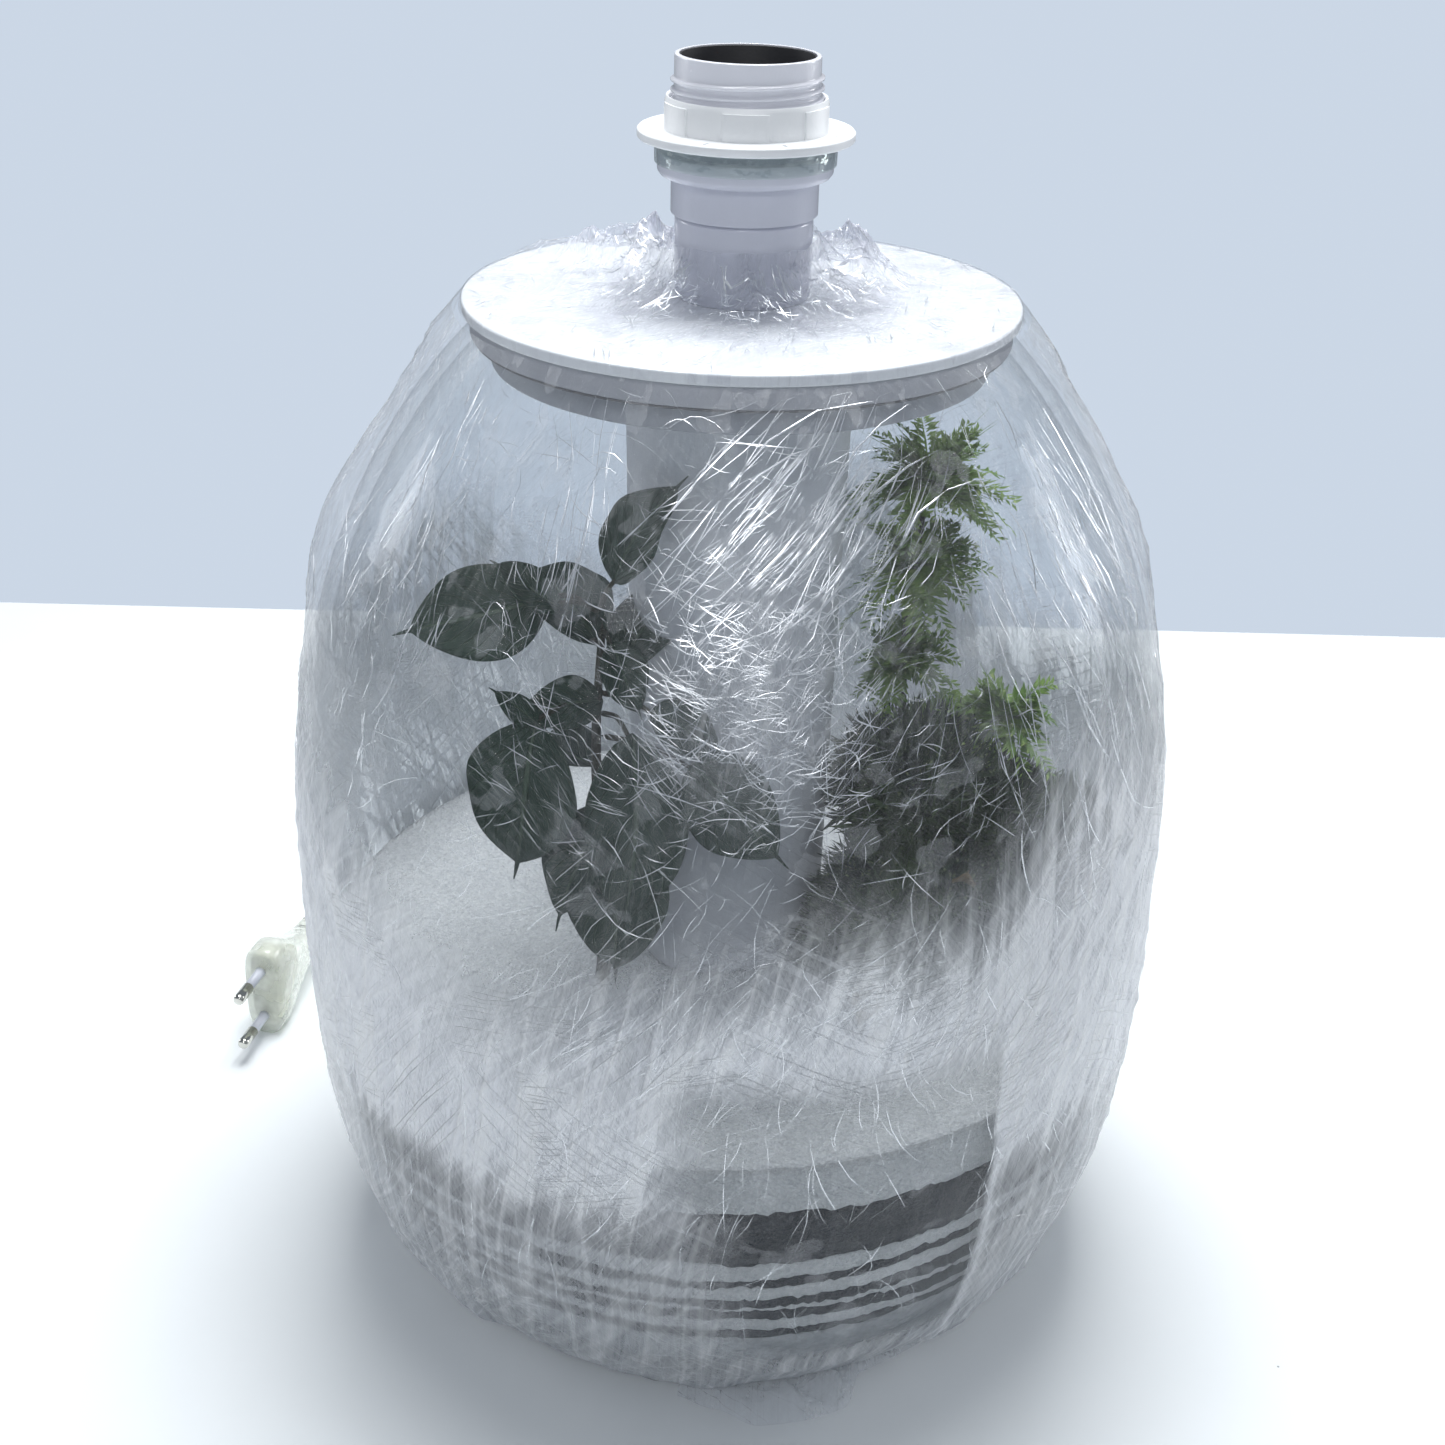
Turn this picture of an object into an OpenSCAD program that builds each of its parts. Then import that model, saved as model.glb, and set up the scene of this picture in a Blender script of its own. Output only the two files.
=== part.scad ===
// Terrarium table lamp: a blown glass barrel planted with artificial greenery on striped sand,
// closed by a white lid that carries an E27 lampholder, and wrapped in clear stretch film.
// Millimetres. +Z is up. The origin is the middle of the glass foot, on the table.

/* [Glass vessel] */
// Widest outer radius of the glass barrel
barrel_r = 125; // [120:1:130]
// Height of the widest circle above the table
belly_z = 145; // [140:1:150]
// Height of the glass rim
rim_z = 284; // [280:1:288]
// Thickness of the glass wall
glass_t = 4; // [3:0.5:5]
// Thickness of the glass floor
floor_t = 9; // [8:0.5:10]
// Radius of the hole for the mains lead, low in the back wall
lead_hole_r = 6; // [5.5:0.5:6.5]

/* [Sand and column] */
// Height of the sand surface
sand_top = 99.5; // [97:0.5:102]
// Radius of the centre column at its foot
column_foot_r = 27; // [25:0.5:29]
// Radius of the centre column under the lid
column_head_r = 31; // [30:0.5:33]
// Wall of the centre column
column_t = 3; // [2:0.5:4]

/* [Lid] */
// Radius of the lid disc
lid_r = 74; // [72:0.5:76]
// Thickness of the lid disc
lid_t = 3; // [2.5:0.5:4]
// Height of the rim ring under the disc
lid_rim_h = 6.2; // [5:0.1:8]

/* [Lampholder] */
// Crest radius of the outer shade thread, 40 mm across
crest_r = 19.75; // [19.5:0.05:20]
// Pitch of the shade thread
pitch = 2.5; // [2:0.25:3]
// Height of the mouth above the lid's top face
holder_h = 61; // [58:1:64]
// Bore radius of the E27 screw shell
shell_bore_r = 13.25; // [13:0.05:13.5]

/* [Shade ring] */
// Outer radius of the ring's flange
flange_r = 28; // [26:0.5:30]
// Thickness of the flange
flange_t = 2.5; // [2:0.5:3]
// Height of the ring, flange and collar together
ring_h = 10.5; // [9:0.5:12]

/* [Mains cord] */
// Diameter of the round mains cord
cord_d = 5.6; // [5.6:0.1:6]
// Mean radius of the stored coil's middle turn
coil_r = 30.8; // [30.8:0.1:33]

/* [Hidden] */
$fn = 96;
gap = 0.15;            // between pieces that only touch
film_off = 0.5;        // film stands off the glass
film_t = 0.6;          // film layers together
seal_t = 0.8;
lid_top = rim_z + seal_t + lid_rim_h + lid_t;
mouth_z = lid_top + holder_h;
shoulder_z = mouth_z - 24;      // top of the shoulder that a shade rests on
flange_z = mouth_z - 20.7;      // underside of the shade ring's flange
skirt_z = mouth_z - 39.5;       // seam between shell and cap
lead_z = 21;                    // axis of the lead's hole
grommet_y = 117;                // face of the grommet's flange
relief_l = 22;                  // length of the tapered strain relief
cord_r = cord_d / 2;

// Sand bands from the glass floor up: name, thickness, colour.
SAND = [
    ["gravel_bed", 24, "lightgray"], ["sand_black_1", 5, "dimgray"], ["sand_white_1", 3.5, "white"],
    ["sand_black_2", 4.5, "dimgray"], ["sand_white_2", 3, "white"], ["sand_black_3", 4, "dimgray"],
    ["sand_white_3", 4.5, "white"], ["sand_black_4", 4, "dimgray"], ["sand_white_4", 4.5, "white"],
    ["sand_black_5", 17, "dimgray"]
];
sand_names = [for (s = SAND) s[0]];
function band_z(i) = i == 0 ? floor_t : band_z(i - 1) + SAND[i - 1][1];

// ---- The barrel's outline: two superellipse quarters that meet at the belly ----
low_reach = belly_z + 15;
high_reach = rim_z - belly_z + 32;
function barrel(z) = z < belly_z
    ? barrel_r * pow(1 - pow((belly_z - z) / low_reach, 3.6), 1 / 3.6)
    : barrel_r * sqrt(1 - pow((z - belly_z) / high_reach, 2));
function lean(z) = barrel(z + 0.5) - barrel(z - 0.5);
// Radius of the surface that lies d inside the glass's outer face, measured square to it.
function inset(z, d) = barrel(z) - d * sqrt(1 + lean(z) * lean(z));
// n + 1 heights from a to b, closer together near both ends.
function rows(a, b, n) = [for (i = [0:n]) a + (b - a) * (1 - cos(180 * i / n)) / 2];
function backwards(list) = [for (i = [len(list) - 1:-1:0]) list[i]];

module vessel() {
    outer = [for (z = rows(3, rim_z - 1, 26)) [barrel(z), z]];
    inner = [for (z = rows(floor_t + 3, rim_z - 1, 26)) [inset(z, glass_t), z]];
    rim = [[barrel(rim_z) - 0.8, rim_z], [inset(rim_z, glass_t) + 0.8, rim_z]];
    bottom_in = [[inset(floor_t + 3, glass_t) - 5, floor_t], [0, floor_t]];
    punt = [[0, 3], [62, 3], [72, 0], [88, 0]];
    color("lightblue", 0.3)
        difference() {
            rotate_extrude() polygon(concat(punt, outer, rim, backwards(inner), bottom_in));
            translate([0, barrel_r, lead_z]) rotate([90, 0, 0]) cylinder(r = lead_hole_r, h = 40);
        }
}

// ---- Centre column and sand ----
column_base = floor_t + gap;
column_top = rim_z - 2;
function column_r(z) = column_foot_r
    + (column_head_r - column_foot_r) * (z - column_base) / (column_top - column_base);

module column() {
    color("gainsboro")
        difference() {
            translate([0, 0, column_base])
                cylinder(r1 = column_foot_r, r2 = column_head_r, h = column_top - column_base);
            translate([0, 0, column_base - 1])
                cylinder(r1 = column_foot_r - column_t, r2 = column_head_r - column_t,
                         h = column_top - column_base + 2);
            translate([0, 0, lead_z]) rotate([-90, 0, 0]) cylinder(r = 4, h = 40);
        }
}

// One level band of sand between the heights a and b, round the column and up to the glass.
module band(a, b, n = 3) {
    wall = [for (z = rows(a, b, n)) [inset(max(z, floor_t + 3), glass_t + gap), z]];
    rotate_extrude()
        polygon(concat([[column_r(a) + gap, a]], wall, [[column_r(b) + gap, b]]));
}

module gravel_bed() {
    corner_r = inset(floor_t + 3, glass_t) - 5.3;      // clear of the rounded corner of the floor
    color(SAND[0][2])
        difference() {
            intersection() {
                band(floor_t + gap, band_z(1), 8);
                translate([0, 0, floor_t]) cylinder(r1 = corner_r, r2 = corner_r + 30, h = 30);
            }
            translate([0, 0, lead_z]) rotate([-90, 0, 0]) cylinder(r = lead_hole_r + gap, h = 130);
        }
}

module sand_band(i) {
    color(SAND[i][2]) band(band_z(i), band_z(i) + SAND[i][1]);
}

module sand_top_layer() {
    color("whitesmoke") band(band_z(len(SAND)), sand_top, 4);
}

// ---- Plants: plain stand-ins for artificial greenery ----
// A pointed leaf as long as l and as wide as w, on a stalk s long, lying in its own XY plane.
module leaf(l, w, s) {
    arc_r = (l * l + w * w) / (4 * w);
    translate([-1, 0, 0]) rotate([0, 90, 0]) cylinder(r = 0.8, h = s + 6);
    translate([s + l / 2, 0, -0.5])
        linear_extrude(1)
            intersection() {
                translate([0, arc_r - w / 2]) circle(r = arc_r);
                translate([0, w / 2 - arc_r]) circle(r = arc_r);
            }
}

stem_x = -36;
stem_y = -34;
// Height on the stem, turn about Z, rise of the leaf, length, width, stalk.
LEAVES = [
    [212, 345, 48, 40, 20, 8], [206, 186, 6, 44, 22, 12], [196, 168, -4, 30, 12, 10],
    [186, 190, -28, 36, 28, 16], [178, 300, -14, 38, 20, 8], [166, 285, -62, 48, 28, 4],
    [172, 338, -30, 34, 22, 26], [160, 120, -20, 36, 22, 6]
];

module leafy_plant() {
    color("darkslategray") {
        translate([stem_x, stem_y, sand_top + gap]) cylinder(r = 1.6, h = 214 - sand_top);
        for (f = LEAVES)
            translate([stem_x, stem_y, f[0]]) rotate([0, 0, f[1]]) rotate([0, -f[2], 0])
                leaf(f[3], f[4], f[5]);
    }
}

// Centre and radius of each tuft, all on one upright stalk.
TUFTS = [[54, 16, 236, 17], [52, 14, 210, 14], [50, 12, 182, 13]];

module fern() {
    color("olivedrab") {
        translate([52, 14, sand_top + gap]) cylinder(r = 1.4, h = 236 - sand_top);
        for (t = TUFTS) translate([t[0], t[1], t[2]]) sphere(r = t[3]);
    }
}

module moss_bush() {
    color("darkolivegreen")
        difference() {
            union() {
                translate([60, -22, 122]) sphere(r = 26);
                translate([84, 4, 118]) sphere(r = 22);
            }
            translate([0, 0, sand_top - 100 + gap]) cylinder(r = barrel_r, h = 100);
        }
}

// ---- Stretch film: a sleeve round the barrel and a hood over the lid ----
hood_edge_r = lid_r + 0.7;
hem_z = lid_top - 2.5;
tie_z = 250;           // the film leaves the glass here and runs straight to the lid

module film_side() {
    out_face = [for (z = rows(1, tie_z, 22)) [inset(z, -film_off - film_t), z]];
    in_face = [for (z = rows(1, tie_z, 22)) [inset(z, -film_off), z]];
    hem = [[lid_r + 2.4, hem_z], [lid_r + 1.8, hem_z]];
    color("white", 0.2)
        difference() {
            rotate_extrude() polygon(concat(out_face, hem, backwards(in_face)));
            translate([0, barrel_r + 10, lead_z]) rotate([90, 0, 0]) cylinder(r = 10, h = 40);
        }
}

module film_top() {
    out_face = [[19.6, lid_top + 15], [20.5, lid_top + 9], [25, lid_top + 4], [33, lid_top + 1.4],
                [hood_edge_r, lid_top + 0.8], [hood_edge_r, hem_z]];
    in_face = [[lid_r + 0.2, hem_z], [lid_r + 0.2, lid_top + 0.2], [33, lid_top + 0.8],
               [24.5, lid_top + 3.3], [19.9, lid_top + 8.7], [19, lid_top + 15]];
    color("white", 0.2) rotate_extrude() polygon(concat(out_face, in_face));
}

// ---- Lid ----
module lid_disc() {
    low = lid_top - lid_t;
    edge = 0.6;
    color("white")
        rotate_extrude()
            polygon([[5.1, low], [lid_r - edge, low], [lid_r, low + edge], [lid_r, lid_top - edge],
                     [lid_r - edge, lid_top], [5.1, lid_top]]);
}

spigot_r = 66.6;
module lid_rim() {
    top = lid_top - lid_t;
    low = rim_z + seal_t;
    color("gray")
        rotate_extrude()
            polygon([[60, top], [60, low - 8], [spigot_r, low - 8], [spigot_r, low], [lid_r - 2, low],
                     [lid_r - 2, top]]);
}

module lid_seal() {
    color("dimgray")
        difference() {
            translate([0, 0, rim_z]) cylinder(r = lid_r - 2.5, h = seal_t);
            translate([0, 0, rim_z - 1]) cylinder(r = spigot_r + gap, h = seal_t + 2);
        }
}

// ---- Lampholder ----
module holder_cap() {
    r = 18.1;
    wall = 1.8;
    top = skirt_z - gap;
    outer = [[5.1, lid_top], [10.5, lid_top], [14.8, lid_top + 2.6], [17.4, lid_top + 6.6],
             [r, lid_top + 11], [r, top]];
    inner = [[r - wall, top], [r - wall, lid_top + 11], [13.4, lid_top + 4.6], [9.8, lid_top + 3],
             [5.1, lid_top + 3]];
    color("gainsboro") rotate_extrude() polygon(concat(outer, inner));
}

crest_top = mouth_z - 2.7;      // height of the uppermost crest
crest_count = 8;
root_r = crest_r - 0.9;
module holder_shell() {
    bore_r = 17.3;
    skirt_r = 19.2;
    collar_r = 22.8;
    // Each crest is a low ridge with a flat land; they are stacked from the shoulder to the mouth.
    crests = [for (i = [crest_count - 1:-1:0]) let (z = crest_top - i * pitch)
        each [[root_r, z - 0.85], [crest_r, z - 0.3], [crest_r, z + 0.3], [root_r, z + 0.85]]];
    outer = concat(
        [[bore_r, skirt_z], [18.5, skirt_z], [18.5, skirt_z + 2.6], [skirt_r, skirt_z + 2.8],
         [skirt_r, shoulder_z - 5.8], [collar_r - 0.8, shoulder_z - 5.6], [collar_r, shoulder_z - 4.6],
         [collar_r, shoulder_z - 0.5], [collar_r - 0.5, shoulder_z], [root_r, shoulder_z]],
        crests, [[root_r - 0.2, mouth_z - 0.4], [root_r - 0.6, mouth_z], [bore_r, mouth_z]]);
    color("whitesmoke") rotate_extrude() polygon(outer);
}

insert_floor = skirt_z + 4;
shell_low = insert_floor + 8;
shell_h = 17;
module holder_insert() {
    r = 17.3 - 0.05;
    color([0.08, 0.08, 0.09])
        difference() {
            translate([0, 0, insert_floor]) cylinder(r = r, h = mouth_z - 1.6 - insert_floor);
            translate([0, 0, insert_floor + 6])
                cylinder(r = shell_bore_r + 0.5 + gap, h = shell_h + 2);
            translate([0, 0, shell_low + shell_h]) cylinder(r1 = 14, r2 = 15.8, h = 20);
            for (s = [-1, 1]) {
                translate([s * 9, 0, insert_floor - 1]) cylinder(r = 2.2, h = 4);
                translate([s * 9, 0, insert_floor + 1]) cylinder(r = 1.1, h = 8);
            }
        }
}

module screw_shell() {
    color("gold")
        difference() {
            translate([0, 0, shell_low]) cylinder(r = shell_bore_r + 0.5, h = shell_h);
            translate([0, 0, shell_low - 1]) cylinder(r = shell_bore_r, h = shell_h + 2);
        }
}

module centre_contact() {
    z = insert_floor + 6;
    color("goldenrod") {
        translate([-7, -2, z]) cube([12, 4, 0.5]);
        translate([0, 0, z]) cylinder(r = 3, h = 1.6);
    }
}

module side_contact() {
    z = insert_floor + 6;
    color("goldenrod") translate([9, -2, z]) cube([3.5, 4, 1.4]);
}

module terminal_screws() {
    color("silver")
        for (s = [-1, 1]) {
            translate([s * 9, 0, insert_floor - 0.6]) cylinder(r = 2, h = 1.6);
            translate([s * 9, 0, insert_floor + 0.9]) cylinder(r = 1, h = 5);
        }
}

module cord_clamp() {
    z = lid_top + 13.5;
    color("dimgray")
        difference() {
            translate([-8, -4, z]) cube([16, 8, 4]);
            translate([0, 0, z - 1]) cylinder(r = cord_r, h = 6);
        }
}

module nipple() {
    color("darkgoldenrod")
        difference() {
            translate([0, 0, lid_top - lid_t - 6]) cylinder(r = 4.95, h = lid_t + 6 + 9);
            translate([0, 0, lid_top - lid_t - 7]) cylinder(r = 3.2, h = lid_t + 18);
        }
}

module nipple_washer() {
    z = lid_top - lid_t - 0.8;
    color("silver")
        difference() {
            translate([0, 0, z]) cylinder(r = 9, h = 0.8 - 0.02);
            translate([0, 0, z - 1]) cylinder(r = 5.1, h = 3);
        }
}

module nipple_nut() {
    z = lid_top - lid_t - 0.8 - 3.2;
    color("silver")
        difference() {
            translate([0, 0, z]) cylinder(r = 8.1, h = 3.15, $fn = 6);
            translate([0, 0, z - 1]) cylinder(r = 5, h = 6);
        }
}

// ---- Shade ring and the clear washer under it ----
ring_bore_r = crest_r + 0.08;
module shade_ring() {
    collar_r = 21;
    panel_r = 21.5;
    top = flange_z + ring_h;
    color("white")
        difference() {
            union() {
                rotate_extrude()
                    polygon([[ring_bore_r, flange_z], [flange_r - 0.4, flange_z],
                             [flange_r, flange_z + 0.4], [flange_r, flange_z + flange_t - 0.4],
                             [flange_r - 0.4, flange_z + flange_t], [collar_r, flange_z + flange_t],
                             [collar_r, top - 1.3], [collar_r - 0.4, top], [ring_bore_r + 0.4, top],
                             [ring_bore_r, top - 0.4]]);
                for (i = [0:5])
                    rotate([0, 0, 60 * i - 107])
                        rotate_extrude(angle = 32)
                            translate([collar_r - 0.4, flange_z + flange_t])
                                square([panel_r - collar_r + 0.4, ring_h - flange_t - 1.3]);
            }
            for (i = [0:7])
                rotate([0, 0, 45 * i + 22])
                    translate([24.2, -0.5, flange_z + flange_t - 0.4]) cube([2.6, 1, 1]);
        }
}

module ring_washer() {
    color("lightcyan", 0.4)
        difference() {
            translate([0, 0, flange_z - 1.1]) cylinder(r = 22.9, h = 0.8);
            translate([0, 0, flange_z - 2]) cylinder(r = ring_bore_r, h = 4);
        }
}

// ---- Mains cord: smooth tubes through points chosen by hand ----
function unit(v) = v / norm(v);
function blend4(a, b, c, d, t) = 0.5 * (2 * b + (c - a) * t + (2 * a - 5 * b + 4 * c - d) * t * t
    + (3 * b - a - 3 * c + d) * t * t * t);
// Catmull-Rom curve through the points, n steps to each stretch.
function smooth(p, n) = [for (i = [0:len(p) - 2]) for (k = [0:n - 1])
    blend4(p[max(i - 1, 0)], p[i], p[i + 1], p[min(i + 2, len(p) - 1)], k / n), p[len(p) - 1]];

// A round tube of radius r along p; ref is a direction that the path never follows.
module tube(p, r, sides, ref) {
    last = len(p) - 1;
    rings = [for (i = [0:last])
        let (t = unit(p[min(i + 1, last)] - p[max(i - 1, 0)]), s = unit(cross(ref, t)), u = cross(t, s))
        for (k = [0:sides - 1]) p[i] + r * (cos(360 * k / sides) * s + sin(360 * k / sides) * u)];
    walls = [for (i = [0:last - 1]) for (k = [0:sides - 1]) let (m = (k + 1) % sides)
        each [[i * sides + k, i * sides + m, (i + 1) * sides + m],
              [i * sides + k, (i + 1) * sides + m, (i + 1) * sides + k]]];
    caps = [[for (k = [sides - 1:-1:0]) k], [for (k = [0:sides - 1]) last * sides + k]];
    polyhedron(points = rings, faces = [for (f = concat(walls, caps)) backwards(f)]);
}

coil_x = -25;
coil_y = 162;
coil_layers = 3;
relief_end = grommet_y + relief_l;

// Down the column, round one bend and out through the gravel.
INNER = [[0, 0, lid_top + 19], [0, 0, 200], [0, 0, 100], [0, 0, 55], [0, 3, 39], [0, 12, 27],
         [0, 26, 21.5], [0, 44, 21], [0, 80, 21], [0, 100, 21]];
// From the strain relief, down onto the stored coil.
LEAD = [[0, relief_end, 21], [0, 144, 20.8], [0, 150, 19.7]];
// From the coil's outer turn over the table to the plug.
TAIL = [[-44, 200.5, 2.8], [-56, 201, 2.8], [-70, 200.5, 2.8], [-88, 199, 2.8], [-104, 195.5, 2.8],
        [-118, 189.5, 2.8], [-130, 181, 3], [-137, 173, 4.6], [-142.5, 164.5, 7.8], [-146, 156, 11.6],
        [-149, 147.5, 15.2], [-151, 139, 17.2], [-152.8, 130, 17.6]];

module inner_lead() {
    color("ghostwhite") tube(smooth(INNER, 3), cord_r - 0.1, 8, [1, 0, 0]);
}

module strain_relief() {
    color("gainsboro")
        translate([0, 0, lead_z]) rotate([-90, 0, 0])
            rotate_extrude()
                polygon([[0, 100.2], [lead_hole_r - 0.1, 100.2], [lead_hole_r - 0.1, grommet_y - 2.5],
                         [9, grommet_y - 2.5], [9, grommet_y], [5.2, grommet_y],
                         [cord_r + 0.5, relief_end - 0.2], [0, relief_end - 0.2]]);
}

module cord_lead() {
    color("ghostwhite") tube(smooth(LEAD, 2), cord_r, 10, [0, 0, 1]);
}

module cord_coil() {
    half = 1.5 * cord_d;
    soft = cord_r;
    color("ghostwhite")
        translate([coil_x, coil_y, 0])
            rotate_extrude()
                polygon([[coil_r - half + soft, 0], [coil_r + half - soft, 0], [coil_r + half, soft],
                         [coil_r + half, 3 * cord_d - soft], [coil_r + half - soft, 3 * cord_d],
                         [coil_r - half + soft, 3 * cord_d], [coil_r - half, 3 * cord_d - soft],
                         [coil_r - half, soft]]);
}

module cord_tail() {
    color("ghostwhite") tube(smooth(TAIL, 3), cord_r, 10, [0, 0, 1]);
}

// ---- Flat two-pin plug, standing on its narrow edge ----
plug_x = -165;
plug_y = 72;
plug_turn = -12;
plug_w = 35.3;
plug_t = 13.7;
pin_spread = 18.6;
pin_l = 19;
// Local frame: -Y is the way the pins point, Z is across both pins, X is the plug's thin way.
module plug_place() {
    translate([plug_x, plug_y, plug_w / 2]) rotate([0, 0, plug_turn]) children();
}

module plug_body() {
    color("honeydew", 0.7)
        plug_place() {
            hull() {
                translate([0, 4, 0]) rotate([90, 0, 0])
                    linear_extrude(4)
                        polygon([[-4, -plug_w / 2], [4, -plug_w / 2], [plug_t / 2, -plug_w / 2 + 5],
                                 [plug_t / 2, plug_w / 2 - 5], [4, plug_w / 2], [-4, plug_w / 2],
                                 [-plug_t / 2, plug_w / 2 - 5], [-plug_t / 2, -plug_w / 2 + 5]]);
                translate([0, 36, 0]) rotate([90, 0, 0])
                    linear_extrude(3)
                        polygon([[-5, -6], [5, -6], [5, 6], [-5, 6]]);
            }
            translate([0, 35, 0]) rotate([-90, 0, 0]) cylinder(r1 = 5, r2 = cord_r + 0.5, h = 24);
        }
}

module plug_pins() {
    color("silver")
        plug_place()
            for (s = [-1, 1])
                translate([0, -gap, s * pin_spread / 2]) rotate([90, 0, 0]) {
                    cylinder(r = 1.4, h = pin_l - 9);
                    translate([0, 0, pin_l - 9]) cylinder(r = 2, h = 8.4);
                    translate([0, 0, pin_l - 0.6]) cylinder(r1 = 2, r2 = 1.4, h = 0.6);
                }
}

module pin_sleeves() {
    color("whitesmoke")
        plug_place()
            for (s = [-1, 1])
                translate([0, -gap, s * pin_spread / 2]) rotate([90, 0, 0])
                    difference() {
                        cylinder(r = 1.7, h = pin_l - 9 - 0.05);
                        translate([0, 0, -1]) cylinder(r = 1.45, h = pin_l);
                    }
}

// ---- The assembly ----
vessel();
column();
gravel_bed();
for (i = [1:len(SAND) - 1])
    sand_band(i);
sand_top_layer();
leafy_plant();
fern();
moss_bush();
film_side();
inner_lead();
strain_relief();
lid_disc();
lid_rim();
lid_seal();
film_top();
holder_cap();
holder_shell();
holder_insert();
screw_shell();
centre_contact();
side_contact();
terminal_screws();
cord_clamp();
nipple();
nipple_nut();
nipple_washer();
shade_ring();
ring_washer();
cord_lead();
cord_coil();
cord_tail();
plug_body();
plug_pins();
pin_sleeves();
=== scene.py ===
# %% [markdown]
# # A terrarium table lamp in its stretch film
# A blown glass barrel holds striped sand, artificial greenery and a hollow white column. A white lid with
# an E27 lampholder closes it, and the whole lamp is wrapped in clear stretch film. The CAD model is loaded
# first. It gives every place and size below, and its pieces that already look right only get a finish.

# %% Load the frame
import math

import bmesh
import bpy
import numpy as np
from mathutils import Matrix, Vector


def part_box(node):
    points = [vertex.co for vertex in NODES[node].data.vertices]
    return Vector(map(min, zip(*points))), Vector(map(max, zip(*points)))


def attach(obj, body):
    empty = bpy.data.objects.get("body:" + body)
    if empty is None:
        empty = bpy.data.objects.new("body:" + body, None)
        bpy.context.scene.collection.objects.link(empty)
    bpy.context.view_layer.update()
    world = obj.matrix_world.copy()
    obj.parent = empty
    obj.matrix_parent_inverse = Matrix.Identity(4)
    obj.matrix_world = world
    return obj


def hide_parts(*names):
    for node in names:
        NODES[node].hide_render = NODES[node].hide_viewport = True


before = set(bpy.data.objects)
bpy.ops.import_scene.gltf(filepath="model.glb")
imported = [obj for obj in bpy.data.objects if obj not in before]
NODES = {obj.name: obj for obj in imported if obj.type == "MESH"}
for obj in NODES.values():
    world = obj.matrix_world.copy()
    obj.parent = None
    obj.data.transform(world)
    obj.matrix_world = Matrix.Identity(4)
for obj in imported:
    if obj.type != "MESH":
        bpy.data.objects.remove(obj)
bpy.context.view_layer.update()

MM = 0.001
glass_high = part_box("vessel")[1]
BARREL_R, RIM_Z = glass_high.x, glass_high.z
LID_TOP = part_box("lid_disc")[1].z
LID_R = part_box("lid_disc")[1].x
MOUTH_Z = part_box("holder_shell")[1].z
SAND_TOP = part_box("sand_top_layer")[1].z
print("barrel radius", round(BARREL_R, 4), "rim", round(RIM_Z, 4), "mouth", round(MOUTH_Z, 4))

# %% [markdown]
# ## Camera
# The lamp is seen from the front and a little above, by a camera held about half a metre away and turned
# slightly about its own axis. A short lens could be moved closer, but it would swell the lid and shrink
# the foot, so the distance and the lens are set together.

# %% Camera
CAMERA_PLACE = (-0.0024, -0.5247, 0.4294)
LOOKS_DOWN, ROLL = math.radians(26.58), math.radians(1.4)
LENS_MM, SENSOR_MM = 49.83, 36
camera = bpy.data.objects.new("camera", bpy.data.cameras.new("camera"))
bpy.context.collection.objects.link(camera)
camera.data.lens, camera.data.sensor_width = LENS_MM, SENSOR_MM
tilt = Matrix.Rotation(math.pi / 2 - LOOKS_DOWN, 4, "X")
camera.matrix_world = Matrix.Translation(CAMERA_PLACE) @ tilt @ Matrix.Rotation(ROLL, 4, "Z")
bpy.context.scene.camera = camera

# %% [markdown]
# ## Shader arithmetic
# A surface pattern is a sum of small masks. Written node by node it can't be read, so a number that varies
# over a surface is wrapped in a class with arithmetic: every sum or product adds the Math node it needs.

# %% Value: a number that varies over a surface
class Value:
    """A shader socket that takes part in arithmetic."""

    def __init__(self, finish, socket):
        self.finish, self.socket = finish, socket

    def maths(self, operation, first, second=0.0):
        """The result of one Math node, as another value."""
        made = self.finish.node("ShaderNodeMath", {0: first, 1: second}, operation=operation)
        return Value(self.finish, made.outputs[0])

    def __add__(self, other):
        return self.maths("ADD", self, other)

    def __sub__(self, other):
        return self.maths("SUBTRACT", self, other)

    def __rsub__(self, other):
        return self.maths("SUBTRACT", other, self)

    def __mul__(self, other):
        return self.maths("MULTIPLY", self, other)

    def __pow__(self, other):
        return self.maths("POWER", self, other)

    def __abs__(self):
        return self.maths("ABSOLUTE", self)

    def over(self, low, high):
        """0 under low, 1 over high and a smooth step between; low may be the larger."""
        sockets = {"Value": self, "From Min": low, "From Max": high}
        step = self.finish.node("ShaderNodeMapRange", sockets, interpolation_type="SMOOTHSTEP")
        return Value(self.finish, step.outputs[0])

    def fraction(self):
        """What is left of the value above its whole number."""
        return self.maths("FRACT", self)

    def clipped(self):
        """The value kept between 0 and 1."""
        clamp = self.finish.node("ShaderNodeClamp", {"Value": self})
        return Value(self.finish, clamp.outputs[0])

    __radd__, __rmul__ = __add__, __mul__


# %% Finish: one material and its nodes
FINISH = {}


def with_alpha(colour):
    """A triple gets an alpha of 1, and a colour socket stays as it is."""
    return (*colour, 1) if isinstance(colour, tuple) else colour


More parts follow.
